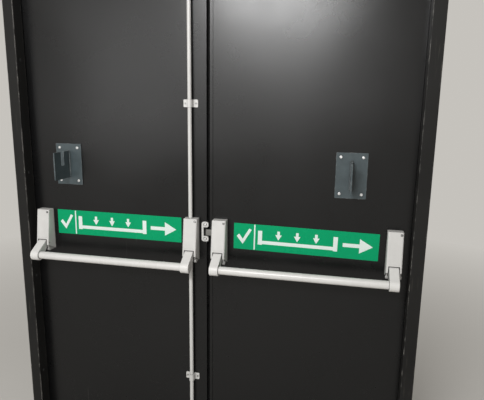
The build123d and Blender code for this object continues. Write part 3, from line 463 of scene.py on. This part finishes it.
def bare_metal(name, color, roughness, along, dirt=0.5, depth=0.00003):
    """Drawn or rolled metal with lines along one axis and grey handling marks."""
    material, tree, shader = new_material(name, metallic=1.0)
    across_lines = 260.0
    along_lines = 8.0
    stretch = [across_lines] * 3
    stretch[along] = along_lines
    mapped = put(tree, "Mapping", {"Vector": object_place(tree), "Scale": stretch})
    lines = noise(tree, mapped.outputs[0], scale=1.0, detail=3.0, roughness=0.6)
    grain = use(tree, paint_grain(), blotch_scale=22.0)
    surface = mottled(tree, grain, color, dirt)
    surface = blend_color(tree, remap(tree, lines, 0.3, 0.7, 0.0, 0.35), surface, opaque(color, share=0.6))
    rough = remap(tree, lines, 0.3, 0.7, roughness - 0.08, roughness + 0.12)
    feed(tree, shader, base_color=surface, roughness=rough, normal=bumped(tree, lines, depth))
    return material


def rubber_like(name, shade):
    """Matt black with a fine grain, for seals and plugs, and for the dark rings and strips of painted shade at
    screws, slots and bar ends.
    """
    peel_depth = 0.0001
    material, tree, shader = new_material(name, specular_ior_level=0.3)
    grain = use(tree, paint_grain(), blotch_scale=14.0, peel_scale=700.0)
    surface = mottled(tree, grain, (shade,) * 3, low=0.5)
    rough = remap(tree, grain["Peel"], 0.2, 0.8, 0.72, 0.9)
    feed(tree, shader, base_color=surface, roughness=rough, normal=bumped(tree, grain["Peel"], peel_depth))
    return material


def sign_plastic(name, color, roughness, haze):
    """Glossy sheet with faint wipe marks."""
    peel_depth = 0.00004
    wipe_share = 0.3
    material, tree, shader = new_material(name, specular_ior_level=0.15)
    grain = use(tree, paint_grain(), blotch_scale=9.0, peel_scale=160.0)
    surface = mottled(tree, grain, color, low=0.93)
    wiped = math_node(tree, "MULTIPLY", use(tree, scuff_marks(), amount=0.36)["Scuff"], wipe_share)
    surface = blend_color(tree, wiped, surface, opaque(haze))
    rough = blotched(tree, grain, roughness, less=0.0, more=0.1)
    feed(tree, shader, base_color=surface, roughness=rough, normal=bumped(tree, grain["Peel"], peel_depth))
    return material


def dress(material, *nodes):
    """Gives CAD nodes a finish."""
    for name in nodes:
        item = frame["nodes"][name]
        if not item.material_slots:
            raise RuntimeError(f"{name} has no material slot")
        for slot in item.material_slots:
            slot.material = material


# Modelling helpers

def corners(node):
    """The lowest and the highest corner of a CAD node."""
    low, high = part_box(node)
    return Vector(low), Vector(high)


def front_slope(detail):
    """How much further out a cover's front lies for each metre further down."""
    return (detail.cover_foot_depth - detail.cover_top_depth) / detail.cover_fall


def leave_edit_mode():
    if bpy.context.mode != "OBJECT":
        bpy.ops.object.mode_set(mode="OBJECT")


def clear_selection():
    leave_edit_mode()
    bpy.ops.object.select_all(action="DESELECT")


def settle(piece, name, material, body):
    """Puts a finished piece's place into its mesh, names it and makes it ride."""
    clear_selection()
    piece.select_set(True)
    bpy.context.view_layer.objects.active = piece
    bpy.ops.object.transform_apply(location=True, rotation=True, scale=True)
    piece.name = name
    piece.data.name = name
    piece.data.materials.clear()
    piece.data.materials.append(material)
    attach(piece, body)
    clear_selection()


def pick(piece, test):
    """Selects the corners of a piece that pass a test, and what lies between them, in edit mode."""
    leave_edit_mode()
    points = piece.data.vertices
    for point in points:
        point.select = test(point.co)
    for part in (*piece.data.edges, *piece.data.polygons):
        part.select = all(points[index].select for index in part.vertices)
    bpy.ops.object.mode_set(mode="EDIT")


def draw_out(step):
    """Extrudes what is selected."""
    bpy.ops.mesh.extrude_region_move(TRANSFORM_OT_translate={"value": step})


def rounding(piece, thickness, share, segments):
    """A modifier that rounds the sharp edges of a piece by a share of its thickness."""
    change = piece.modifiers.new("Rounding", "BEVEL")
    change.limit_method = "ANGLE"
    change.width = thickness * share
    change.segments = segments
    return change


def apply_changes(crease, *changes):
    """Applies the active piece's modifiers and smooths its edges less sharp than `crease` degrees."""
    leave_edit_mode()
    for change in changes:
        bpy.ops.object.modifier_apply(modifier=change.name)
    bpy.ops.object.shade_smooth_by_angle(angle=math.radians(crease))


def ring(name, centre, axis, radius, thickness, material, body, segments=40, lean=0.0):
    """A fine, slightly flattened ring whose hole lies along an axis; `lean` tips one along Y up or down."""
    turns = {"X": (0.0, math.pi / 2, 0.0), "Y": (math.pi / 2 - lean, 0.0, 0.0), "Z": (0.0, 0.0, 0.0)}
    flatness = 0.8
    clear_selection()
    bpy.ops.mesh.primitive_torus_add(
        major_segments=segments,
        minor_segments=10,
        major_radius=radius,
        minor_radius=thickness,
        location=centre,
    )
    piece = bpy.context.object
    bpy.ops.object.mode_set(mode="EDIT")
    bpy.ops.transform.resize(value=(1.0, 1.0, flatness))
    bpy.ops.object.mode_set(mode="OBJECT")
    piece.rotation_euler = turns[axis]
    bpy.ops.object.shade_smooth()
    settle(piece, name, material, body)


def button(name, foot, out, radius, height, material, body, segments):
    """A low disc with a rounded rim. It stands on the point `foot` and looks along `out`, X or Z."""
    clear_selection()
    bpy.ops.mesh.primitive_cylinder_add(
        vertices=segments,
        radius=radius,
        depth=height,
        location=foot + out * (height / 2),
        rotation=(0.0, math.pi / 2 if out.x else 0.0, 0.0),
    )
    piece = bpy.context.object
    apply_changes(CREASE, rounding(piece, height, share=0.8, segments=4))
    settle(piece, name, material, body)


# Operators

class STEELDOOR_OT_paint_leaves(bpy.types.Operator):
    """Paint the leaves satin black and finish what is inside and between them"""
    bl_idname = "steel_door.paint_leaves"
    bl_label = "Paint Leaves"

    def execute(self, context):
        black = leaf_paint(context.scene.steel_door_paint)
        inner = bare_metal("Galvanised Sheet", (0.52, 0.53, 0.55), roughness=0.42, along=2, dirt=0.75)
        for side in SIDES:
            dress(black, f"{side}_outer_tray", f"{side}_push_sheet")
            dress(inner, f"{side}_stiffeners")
        dress(rubber_like("Seal Rubber", shade=0.020), "meeting_seal", "frame_seal")
        return {"FINISHED"}


class STEELDOOR_OT_paint_frame(bpy.types.Operator):
    """Paint the frame and the hinges, and finish the sill"""
    bl_idname = "steel_door.paint_frame"
    bl_label = "Paint Frame"

    def execute(self, context):
        paint = context.scene.steel_door_paint
        for node, chipped in (("left_jamb", 0.575), ("right_jamb", 0.505), ("frame_head", 0.50)):
            black = painted(
                label(f"{node}_paint"),
                paint.frame_color,
                roughness=0.40, specular=0.15, shade=0.7, blotch_scale=2.4,
                wear_color=paint.chip_color, wear_width=0.0045, wear_amount=chipped, wear_break=14.0,
                scuff_color=(0.07, 0.065, 0.055), scuff_amount=0.42,
                dust_color=(0.10, 0.095, 0.085), dust_amount=0.35,
            )
            dress(black, node)
        hinge = painted(
            "Hinge Paint",
            paint.frame_color,
            roughness=0.42, blotch_scale=20.0,
            wear_color=(0.35, 0.34, 0.33), wear_width=0.001, wear_amount=0.5, wear_metal=0.8,
        )
        for side in SIDES:
            for place in PLACES:
                dress(hinge, f"{side}_{place}_hinge_frame_half", f"{side}_{place}_hinge_leaf_half")
        dress(bare_metal("Sill Metal", (0.56, 0.56, 0.57), roughness=0.40, along=0, dirt=0.55), "threshold")
        return {"FINISHED"}


class STEELDOOR_OT_finish_hardware(bpy.types.Operator):
    """Powder coat the push bars, covers and rods, and finish the bare metal pieces"""
    bl_idname = "steel_door.finish_hardware"
    bl_label = "Finish Hardware"

    def execute(self, context):
        paint = context.scene.steel_door_paint
        grime_and_shade = paint.grime_color
        coat = self.coat(
            paint, "Cover Powder Coat", share=1.0, roughness=0.38, shade=0.90, blotch_scale=16.0,
            wear_color=grime_and_shade, wear_width=0.0012, wear_amount=0.44,
            scuff_color=(0.34, 0.33, 0.31), scuff_amount=0.36,
            dust_color=(0.50, 0.48, 0.44), dust_amount=0.15,
        )
        bar = self.coat(
            paint, "Bar Powder Coat", share=1.08, roughness=0.28, shade=0.94, blotch_scale=10.0,
            scuff_color=(0.36, 0.34, 0.31), scuff_amount=0.42, recess_reach=0.006,
        )
        # painted light: the arms get a lighter copy of the cover coat, 1.14 times as bright, for the light that
        # falls on them
        arm = self.coat(
            paint, "Arm Lit Powder Coat", share=1.14, roughness=0.34, shade=0.93, blotch_scale=20.0,
            wear_color=grime_and_shade, wear_width=0.0012, wear_amount=0.42,
            scuff_color=(0.42, 0.40, 0.37), scuff_amount=0.38,
        )
        rod = self.coat(
            paint, "Rod Powder Coat", share=1.02, roughness=0.38, shade=0.90, blotch_scale=7.0,
            peel_depth=0.00005, wear_color=grime_and_shade, wear_amount=0.42, recess_reach=0.008,
        )
        chassis = self.coat(
            paint, "Chassis Paint", share=0.72, roughness=0.42, shade=0.85, blotch_scale=30.0,
            peel_depth=0.00005, wear_color=grime_and_shade, wear_amount=0.46,
            dust_color=(0.40, 0.38, 0.34), recess_reach=0.02,
        )
        zinc = bare_metal("Zinc Plate", (0.50, 0.50, 0.49), roughness=0.36, along=2, dirt=0.7)
        turned = bare_metal("Turned Steel", (0.46, 0.46, 0.45), roughness=0.30, along=0, dirt=0.7)
        worn = bare_metal("Worn Latch Steel", (0.34, 0.34, 0.33), roughness=0.34, along=0, dirt=0.7)
        bright = bare_metal("Bright Screw Steel", (0.92, 0.92, 0.92), roughness=0.34, along=1, dirt=0.9)
        dull = bare_metal("Dull Screw Steel", (0.42, 0.42, 0.41), roughness=0.30, along=1, dirt=0.6)
        for head in HEADS:
            dress(coat, f"{head}_head_cover")
            dress(arm, f"{head}_arm")
            dress(chassis, f"{head}_head_chassis")
        for side in SIDES:
            dress(bar, f"{side}_push_bar")
            dress(turned, f"{side}_pivot_pins")
            dress(bright, f"{side}_large_screws")
            dress(dull, f"{side}_small_screws")
        dress(rod, "top_rod", "bottom_rod", "latch_keeper")
        for place in ("top", "upper", "lower", "bottom"):
            dress(rod, f"{place}_rod_guide")
        dress(zinc, "top_rod_keeper")
        dress(worn, "latch_bolt")
        return {"FINISHED"}

    def coat(self, paint, name, share, peel_depth=0.00006, **finish):
        """A pale coat whose colour is a share of the covers' colour, with painted shade in its corners."""
        color = [share * value for value in paint.cover_color]
        # painted shade: the recess colour darkens this coat's gaps and corners
        grime_and_shade = paint.recess_shade_color
        return painted(name, color, peel_scale=900.0, peel_depth=peel_depth, recess_shade_color=grime_and_shade, **finish)


class STEELDOOR_OT_finish_brackets(bpy.types.Operator):
    """Paint the bar brackets and lay the welds along their fins"""
    bl_idname = "steel_door.finish_brackets"
    bl_label = "Finish Brackets"

    def execute(self, context):
        paint = context.scene.steel_door_paint
        steel = painted(
            "Bracket Paint",
            paint.bracket_color,
            roughness=0.36, shade=0.72, blotch_scale=26.0,
            wear_color=(0.52, 0.55, 0.56), wear_width=0.0014, wear_amount=0.54, wear_metal=0.5,
            scuff_color=(0.12, 0.14, 0.15), scuff_amount=0.45,
            dust_color=(0.16, 0.16, 0.15), dust_amount=0.4,
            # painted shade round the fins' feet and in the brackets' corners
            recess_shade_color=paint.recess_shade_color, recess_reach=0.02, recess_shade_amount=0.8,
        )
        for side in SIDES:
            dress(steel, f"{side}_bar_bracket")
            self.weld(side, steel, context.scene.steel_door_detail)
        return {"FINISHED"}

    def weld(self, side, material, detail):
        """Two rows of overlapping scales, one on each side of the fin's foot."""
        plate_face = -0.004
        away_from_fin = detail.weld_radius * 0.45
        out_of_plate = detail.weld_radius * 0.35
        scale_shape = (1.0, 0.85, 0.75)
        scale_tilt = 0.45
        low, high = corners(f"{side}_bar_bracket")
        centre = (low + high) / 2
        count = int((detail.fin_height - 2 * detail.weld_radius) / detail.weld_pitch)
        start = centre.z - count * detail.weld_pitch / 2
        for turn, name in ((-1, "left"), (1, "right")):
            foot = centre.x + turn * (detail.fin_thickness / 2 + away_from_fin)
            clear_selection()
            bpy.ops.mesh.primitive_uv_sphere_add(
                segments=14,
                ring_count=8,
                radius=detail.weld_radius,
                location=(foot, plate_face - out_of_plate, start),
            )
            piece = bpy.context.object
            bpy.ops.object.mode_set(mode="EDIT")
            bpy.ops.transform.resize(value=scale_shape)
            bpy.ops.transform.rotate(value=scale_tilt, orient_axis="X", center_override=tuple(piece.location))
            row = piece.modifiers.new("Row", "ARRAY")
            row.use_relative_offset = False
            row.use_constant_offset = True
            row.constant_offset_displace = (0.0, 0.0, detail.weld_pitch)
            row.count = count
            apply_changes(NO_CREASE, row)
            settle(piece, f"{side}_bracket_weld_{name}", material, f"{side}_leaf")


class STEELDOOR_OT_rib_covers(bpy.types.Operator):
    """Raise a fine rib across the front of each head cover, above the arm's slot"""
    bl_idname = "steel_door.rib_covers"
    bl_label = "Rib Covers"

    def execute(self, context):
        detail = context.scene.steel_door_detail
        coat = bpy.data.materials["Cover Powder Coat"]
        slope = front_slope(detail)
        depth = detail.cover_top_depth + slope * detail.rib_drop
        rib_width = 0.0016
        for head, body in HEADS.items():
            low, high = corners(f"{head}_head_cover")
            clear_selection()
            bpy.ops.mesh.primitive_cube_add(
                size=1.0,
                location=((low.x + high.x) / 2, -depth, high.z - detail.rib_drop),
                rotation=(-math.atan(slope), 0.0, 0.0),
                scale=(detail.rib_length, 2 * detail.rib_height, rib_width),
            )
            rib = bpy.context.object
            bpy.ops.object.transform_apply(location=False, rotation=False, scale=True)
            apply_changes(NO_CREASE, rounding(rib, detail.rib_height, share=0.8, segments=3))
            settle(rib, f"{head}_cover_rib", coat, body)
        return {"FINISHED"}


class STEELDOOR_OT_ring_heads(bpy.types.Operator):
    """Put a burr ring round each side hole of the covers and a dark ring of painted shadow where each bar enters
    its arm
    """
    bl_idname = "steel_door.ring_heads"
    bl_label = "Ring Heads"

    def execute(self, context):
        detail = context.scene.steel_door_detail
        coat = bpy.data.materials["Cover Powder Coat"]
        # painted shadow: a dark ring where each bar enters its arm, standing in for the shade in that joint
        painted_shadow = rubber_like("Bar Painted Shadow", shade=0.016)
        for head, body in HEADS.items():
            low, high = corners(f"{head}_head_cover")
            for x, side in ((low.x, "left"), (high.x, "right")):
                centre = (x, -detail.hole_depth, high.z - detail.hole_drop)
                name = f"{head}_hole_ring_{side}"
                ring(name, centre, "X", detail.hole_radius, detail.ring_thickness, coat, body)
        for side, ends in BAR_ENDS.items():
            low, high = corners(f"{side}_push_bar")
            radius = (high.z - low.z) / 2
            mouths = (corners(f"{ends[0]}_arm")[1].x, corners(f"{ends[1]}_arm")[0].x)
            for head, mouth in zip(ends, mouths):
                centre = (mouth, (low.y + high.y) / 2, (low.z + high.z) / 2)
                name = f"{head}_bar_painted_shadow"
                ring(name, centre, "X", radius, detail.shadow_line_thickness, painted_shadow, f"{side}_bar")
        return {"FINISHED"}


class STEELDOOR_OT_trim_slots(bpy.types.Operator):
    """Edge the slot of each head cover, where its arm comes out, with a thin dark strip of painted shade"""
    bl_idname = "steel_door.trim_slots"
    bl_label = "Shade Slots"

    def execute(self, context):
        detail = context.scene.steel_door_detail
        # painted shade: a dark strip along each slot's edge, where the arm sits in shadow
        dark = rubber_like("Slot Shadow Strip", shade=0.022)
        for head, body in HEADS.items():
            low, high = corners(f"{head}_head_cover")
            arm_low, arm_high = corners(f"{head}_arm")
            slot_shadow = self.strip((arm_high.x - arm_low.x) / 2 + detail.slot_play, detail)
            slot_shadow.location = ((low.x + high.x) / 2, -detail.cover_top_depth, high.z)
            settle(slot_shadow, f"{head}_slot_shadow_strip", dark, body)
        return {"FINISHED"}

    def strip(self, half, detail):
        """A strip with a leg down each side, leaning as the cover's front does from the front's top."""
        lean = math.atan(front_slope(detail))
        slot_top = -detail.slot_drop / math.cos(lean)
        leg = (detail.cover_fall - detail.slot_drop) / math.cos(lean)
        nudge = 0.0001
        clear_selection()
        bpy.ops.mesh.primitive_plane_add(
            size=1.0,
            location=(0.0, 0.0, slot_top + detail.shadow_strip_width / 2),
            rotation=(math.pi / 2, 0.0, 0.0),
        )
        piece = bpy.context.object
        piece.scale = (2 * half, detail.shadow_strip_width, 1.0)
        bpy.ops.object.transform_apply(location=True, rotation=True, scale=True)
        for way in (-1, 1):
            pick(piece, lambda spot: way * spot.x > half - nudge)
            draw_out((way * detail.shadow_strip_width, 0.0, 0.0))
            pick(piece, lambda spot: way * spot.x > half - nudge and spot.z < slot_top + nudge)
            draw_out((0.0, 0.0, -leg))
        bpy.ops.mesh.select_all(action="SELECT")
        bpy.ops.mesh.normals_make_consistent(inside=False)
        wall = piece.modifiers.new("Wall", "SOLIDIFY")
        wall.thickness = detail.shadow_strip_thickness
        wall.offset = 0.0
        apply_changes(CREASE, wall, rounding(piece, detail.shadow_strip_thickness, share=0.25, segments=2))
        piece.rotation_euler = (-lean, 0.0, 0.0)
        return piece


class STEELDOOR_OT_rim_screws(bpy.types.Operator):
    """Lay a dark ring of painted shade round the screws of the covers and of the latch keeper"""
    bl_idname = "steel_door.rim_screws"
    bl_label = "Rim Screws"

    def execute(self, context):
        detail = context.scene.steel_door_detail
        # painted shade: dark rings standing in for the shade round each screw head
        dirt = rubber_like("Screw Rim Shade", shade=0.030)
        slope = front_slope(detail)
        lean = math.atan(slope)
        depth = detail.cover_top_depth + slope * detail.screw_drop
        radius = detail.small_rim_radius
        for head, body in HEADS.items():
            high = corners(f"{head}_head_cover")[1]
            centre = (high.x - detail.screw_inset, -depth, high.z - detail.screw_drop)
            name = f"{head}_screw_rim"
            ring(name, centre, "Y", radius, detail.rim_thickness, dirt, body, lean=lean)
        low, high = corners("latch_keeper")
        radius = detail.large_rim_radius
        for turn, name in ((1, "keeper_upper_screw_rim"), (-1, "keeper_lower_screw_rim")):
            height = (low.z + high.z) / 2 + turn * detail.keeper_screw_rise
            centre = (-detail.keeper_screw_side, low.y, height)
            ring(name, centre, "Y", radius, detail.rim_thickness, dirt, "left_leaf")
        return {"FINISHED"}


class STEELDOOR_OT_cap_hinges(bpy.types.Operator):
    """Close the hinge knuckles with low domed caps and lay a washer between their halves"""
    bl_idname = "steel_door.cap_hinges"
    bl_label = "Cap Hinges"

    def execute(self, context):
        height = context.scene.steel_door_detail.cap_height
        paint = bpy.data.materials["Hinge Paint"]
        steel = bare_metal("Hinge Washer Steel", (0.48, 0.48, 0.47), roughness=0.35, along=2, dirt=0.7)
        segments = 32
        cap_share = 0.94
        washer_inset = 0.0004
        washer_thickness = 0.0005
        up = Vector((0.0, 0.0, 1.0))
        for side in SIDES:
            joint = next(item for item in frame["joints"] if item["name"] == f"{side}_leaf_swing")
            x, y = joint["pos_m"][:2]
            for place in PLACES:
                hinge = f"{side}_{place}_hinge"
                low, high = corners(f"{hinge}_leaf_half")
                foot = corners(f"{hinge}_frame_half")[0]
                axis = Vector((x, y, (low.z + high.z) / 2))
                radius = high.y - axis.y
                ends = (
                    ("top_cap", Vector((x, y, high.z)), up, f"{side}_leaf"),
                    ("foot_cap", Vector((x, y, foot.z)), -up, "frame"),
                )
                for name, end, out, body in ends:
                    name = f"{hinge}_{name}"
                    button(name, end, out, radius * cap_share, height, paint, body, segments)
                name = f"{hinge}_washer"
                radius -= washer_inset
                ring(name, axis, "Z", radius, washer_thickness, steel, "frame", segments)
        return {"FINISHED"}


class STEELDOOR_OT_plug_fixings(bpy.types.Operator):
    """Close the fixing holes in the reveals of the frame with low domed plugs"""
    bl_idname = "steel_door.plug_fixings"
    bl_label = "Plug Fixings"

    def execute(self, context):
        detail = context.scene.steel_door_detail
        radius, height = detail.plug_radius, detail.plug_height
        plug = rubber_like("Plug Plastic", shade=0.030)
        for mount in frame["record"]["mounts"]:
            if mount["kind"] != "bolt_pattern":
                continue
            x, y, z = mount["pos_m"]
            out = Vector((mount["axis"][0], 0.0, 0.0))
            spacing = mount["dims"]["spacing_y_mm"] / MILLIMETRES
            side = "left" if x < 0 else "right"
            for turn in (-0.5, 0.5):
                foot = Vector((x, y, z + turn * spacing))
                name = f"{side}_fixing_plug_{round(foot.z * MILLIMETRES)}"
                button(name, foot, out, radius, height, plug, "frame", segments=36)
        return {"FINISHED"}


class STEELDOOR_OT_lip_seal(bpy.types.Operator):
    """Run a soft lip along the meeting seal's fin, so that no light comes between the leaves"""
    bl_idname = "steel_door.lip_seal"
    bl_label = "Lip Seal"

    def execute(self, context):
        detail = context.scene.steel_door_detail
        low, high = corners("meeting_seal")
        centre = (low + high) / 2
        tip_thickness = 0.4
        clear_selection()
        bpy.ops.mesh.primitive_cube_add(
            size=1.0,
            location=(high.x + detail.lip_reach / 2, centre.y, centre.z),
            scale=(detail.lip_reach, detail.lip_thickness, high.z - low.z),
        )
        lip = bpy.context.object
        bpy.ops.object.transform_apply(location=True, rotation=True, scale=True)
        pick(lip, lambda spot: spot.x > high.x + detail.lip_reach / 2)
        bpy.ops.transform.resize(value=(1.0, tip_thickness, 1.0))
        apply_changes(CREASE, rounding(lip, detail.lip_thickness, share=0.15, segments=2))
        settle(lip, "meeting_seal_lip", bpy.data.materials["Seal Rubber"], "left_leaf")
        return {"FINISHED"}


class STEELDOOR_OT_finish_signs(bpy.types.Operator):
    """Give the signs their green ground and white marks"""
    bl_idname = "steel_door.finish_signs"
    bl_label = "Finish Signs"

    def execute(self, context):
        paint = context.scene.steel_door_paint
        green = sign_plastic("Sign Green", paint.sign_green, roughness=0.22, haze=(0.20, 0.55, 0.38))
        white = sign_plastic("Sign White", paint.sign_white, roughness=0.24, haze=(0.62, 0.68, 0.64))
        for side in SIDES:
            dress(green, f"{side}_sign_plate")
            dress(white, f"{side}_sign_marks")
        return {"FINISHED"}


class STEELDOOR_OT_set_studio(bpy.types.Operator):
    """Lay the floor, set the surround and the lights, and place the camera"""
    bl_idname = "steel_door.set_studio"
    bl_label = "Set Studio"

    def execute(self, context):
        studio = context.scene.steel_door_studio
        self.floor(studio)
        self.surround(context.scene, studio)
        self.lights(context.scene, studio)
        self.camera(context.scene, studio)
        context.scene.view_settings.view_transform = "Standard"
        return {"FINISHED"}

    def floor(self, studio):
        """A pale floor that keeps the door's shadow and fades into the surround further away."""
        floor_width = 24.0
        clear_selection()
        bpy.ops.mesh.primitive_plane_add(size=floor_width, location=(0.0, 0.0, 0.0))
        floor = bpy.context.object
        floor.name = "studio_floor"
        material, tree, shader = new_material("Studio Floor", specular_ior_level=0.3)
        grain = use(tree, paint_grain(), blotch_scale=0.8, peel_scale=120.0)
        surface = mottled(tree, grain, studio.floor_color, low=0.96)
        feed(tree, shader, base_color=surface, roughness=remap(tree, grain["Blotch"], 0.0, 1.0, 0.72, 0.82))
        away = put(tree, "VectorMath", {0: object_place(tree)}, operation="LENGTH").outputs["Value"]
        fade = remap(tree, away, studio.fade_start, studio.fade_end, 0.0, studio.fade_share)
        pale = put(tree, "Emission", {"Color": opaque(studio.surround_color), "Strength": 1.0})
        share = math_node(tree, "MULTIPLY", fade, shown_rays(tree), True)
        either = put(tree, "MixShader", {0: share, 1: shader.outputs[0], 2: pale.outputs[0]})
        output = next(node for node in tree.nodes if node.bl_idname == "ShaderNodeOutputMaterial")
        tree.links.new(either.outputs[0], output.inputs["Surface"])
        floor.data.materials.append(material)

    def surround(self, scene, studio):
        """One even colour all round, dimmer as light than where it is seen."""
        world = bpy.data.worlds.new("Studio Surround")
        world.use_nodes = True
        tree = world.node_tree
        tree.nodes.clear()
        color = opaque(studio.surround_color)
        light = put(tree, "Background", {"Color": color, "Strength": studio.surround_strength})
        seen = put(tree, "Background", {"Color": color, "Strength": 1.0})
        either = put(tree, "MixShader", {0: shown_rays(tree), 1: light.outputs[0], 2: seen.outputs[0]})
        put(tree, "OutputWorld", {"Surface": either.outputs[0]})
        scene.world = world

    def lights(self, scene, studio):
        """Soft lamps, each with its place, its size and its power, all aimed at the door's middle."""
        aim = Vector((0.0, 0.0, 1.2))
        lamps = (
            ("ceiling_light", (-0.15, -2.6, 2.60), (1.0, 0.5), studio.key_power),
            ("far_wall_light", (-0.88, -5.5, 1.94), (2.4, 1.1), studio.far_power),
            ("fill_light", (-1.72, -2.8, 2.0), (1.0, 1.7), studio.fill_power),
        )
        for name, place, size, power in lamps:
            data = bpy.data.lights.new(name, "AREA")
            data.shape = "RECTANGLE"
            data.size, data.size_y = size
            data.energy = power
            lamp = bpy.data.objects.new(name, data)
            lamp.location = place
            lamp.rotation_euler = (aim - Vector(place)).to_track_quat("-Z", "Y").to_euler()
            scene.collection.objects.link(lamp)

    def camera(self, scene, studio):
        """A camera at the place, heading, dip and roll of the settings."""
        data = bpy.data.cameras.new("photo_camera")
        data.sensor_fit = "HORIZONTAL"
        data.sensor_width = 36.0
        data.lens = studio.camera_lens
        data.clip_start = 0.05
        camera = bpy.data.objects.new("photo_camera", data)
        scene.collection.objects.link(camera)
        turn, dip, roll = studio.camera_heading, studio.camera_dip, studio.camera_roll
        ahead = Vector((math.sin(turn) * math.cos(dip), math.cos(turn) * math.cos(dip), -math.sin(dip)))
        level = Vector((math.cos(turn), -math.sin(turn), 0.0))
        below = ahead.cross(level)
        right = level * math.cos(roll) + below * math.sin(roll)
        down = below * math.cos(roll) - level * math.sin(roll)
        axes = Matrix((right, -down, -ahead)).transposed()
        camera.matrix_world = Matrix.Translation(studio.camera_place) @ axes.to_4x4()
        scene.camera = camera


class STEELDOOR_PT_panel(bpy.types.Panel):
    """Lists the settings and the steps that dress the door"""
    bl_label = "Steel Door"
    bl_idname = "STEELDOOR_PT_panel"
    bl_space_type = "VIEW_3D"
    bl_region_type = "UI"
    bl_category = "Steel Door"

    def draw(self, context):
        layout = self.layout
        for group in GROUPS:
            settings = getattr(context.scene, group)
            box = layout.box()
            for name in settings.__annotations__:
                box.prop(settings, name)
        for step in STEPS:
            layout.operator(step.bl_idname)


GROUPS = {
    "steel_door_paint": SteelDoorPaint,
    "steel_door_detail": SteelDoorDetail,
    "steel_door_studio": SteelDoorStudio,
}
STEPS = (
    STEELDOOR_OT_paint_leaves,
    STEELDOOR_OT_paint_frame,
    STEELDOOR_OT_finish_hardware,
    STEELDOOR_OT_finish_brackets,
    STEELDOOR_OT_rib_covers,
    STEELDOOR_OT_ring_heads,
    STEELDOOR_OT_trim_slots,
    STEELDOOR_OT_rim_screws,
    STEELDOOR_OT_cap_hinges,
    STEELDOOR_OT_plug_fixings,
    STEELDOOR_OT_lip_seal,
    STEELDOOR_OT_finish_signs,
    STEELDOOR_OT_set_studio,
)
CLASSES = (*GROUPS.values(), *STEPS, STEELDOOR_PT_panel)


def register():
    for item in CLASSES:
        bpy.utils.register_class(item)
    for name, group in GROUPS.items():
        setattr(bpy.types.Scene, name, PointerProperty(type=group))


def unregister():
    for name in GROUPS:
        delattr(bpy.types.Scene, name)
    for item in reversed(CLASSES):
        bpy.utils.unregister_class(item)


def main():
    register()
    for step in STEPS:
        family, name = step.bl_idname.split(".")
        getattr(getattr(bpy.ops, family), name)()


if __name__ == "__main__":
    main()
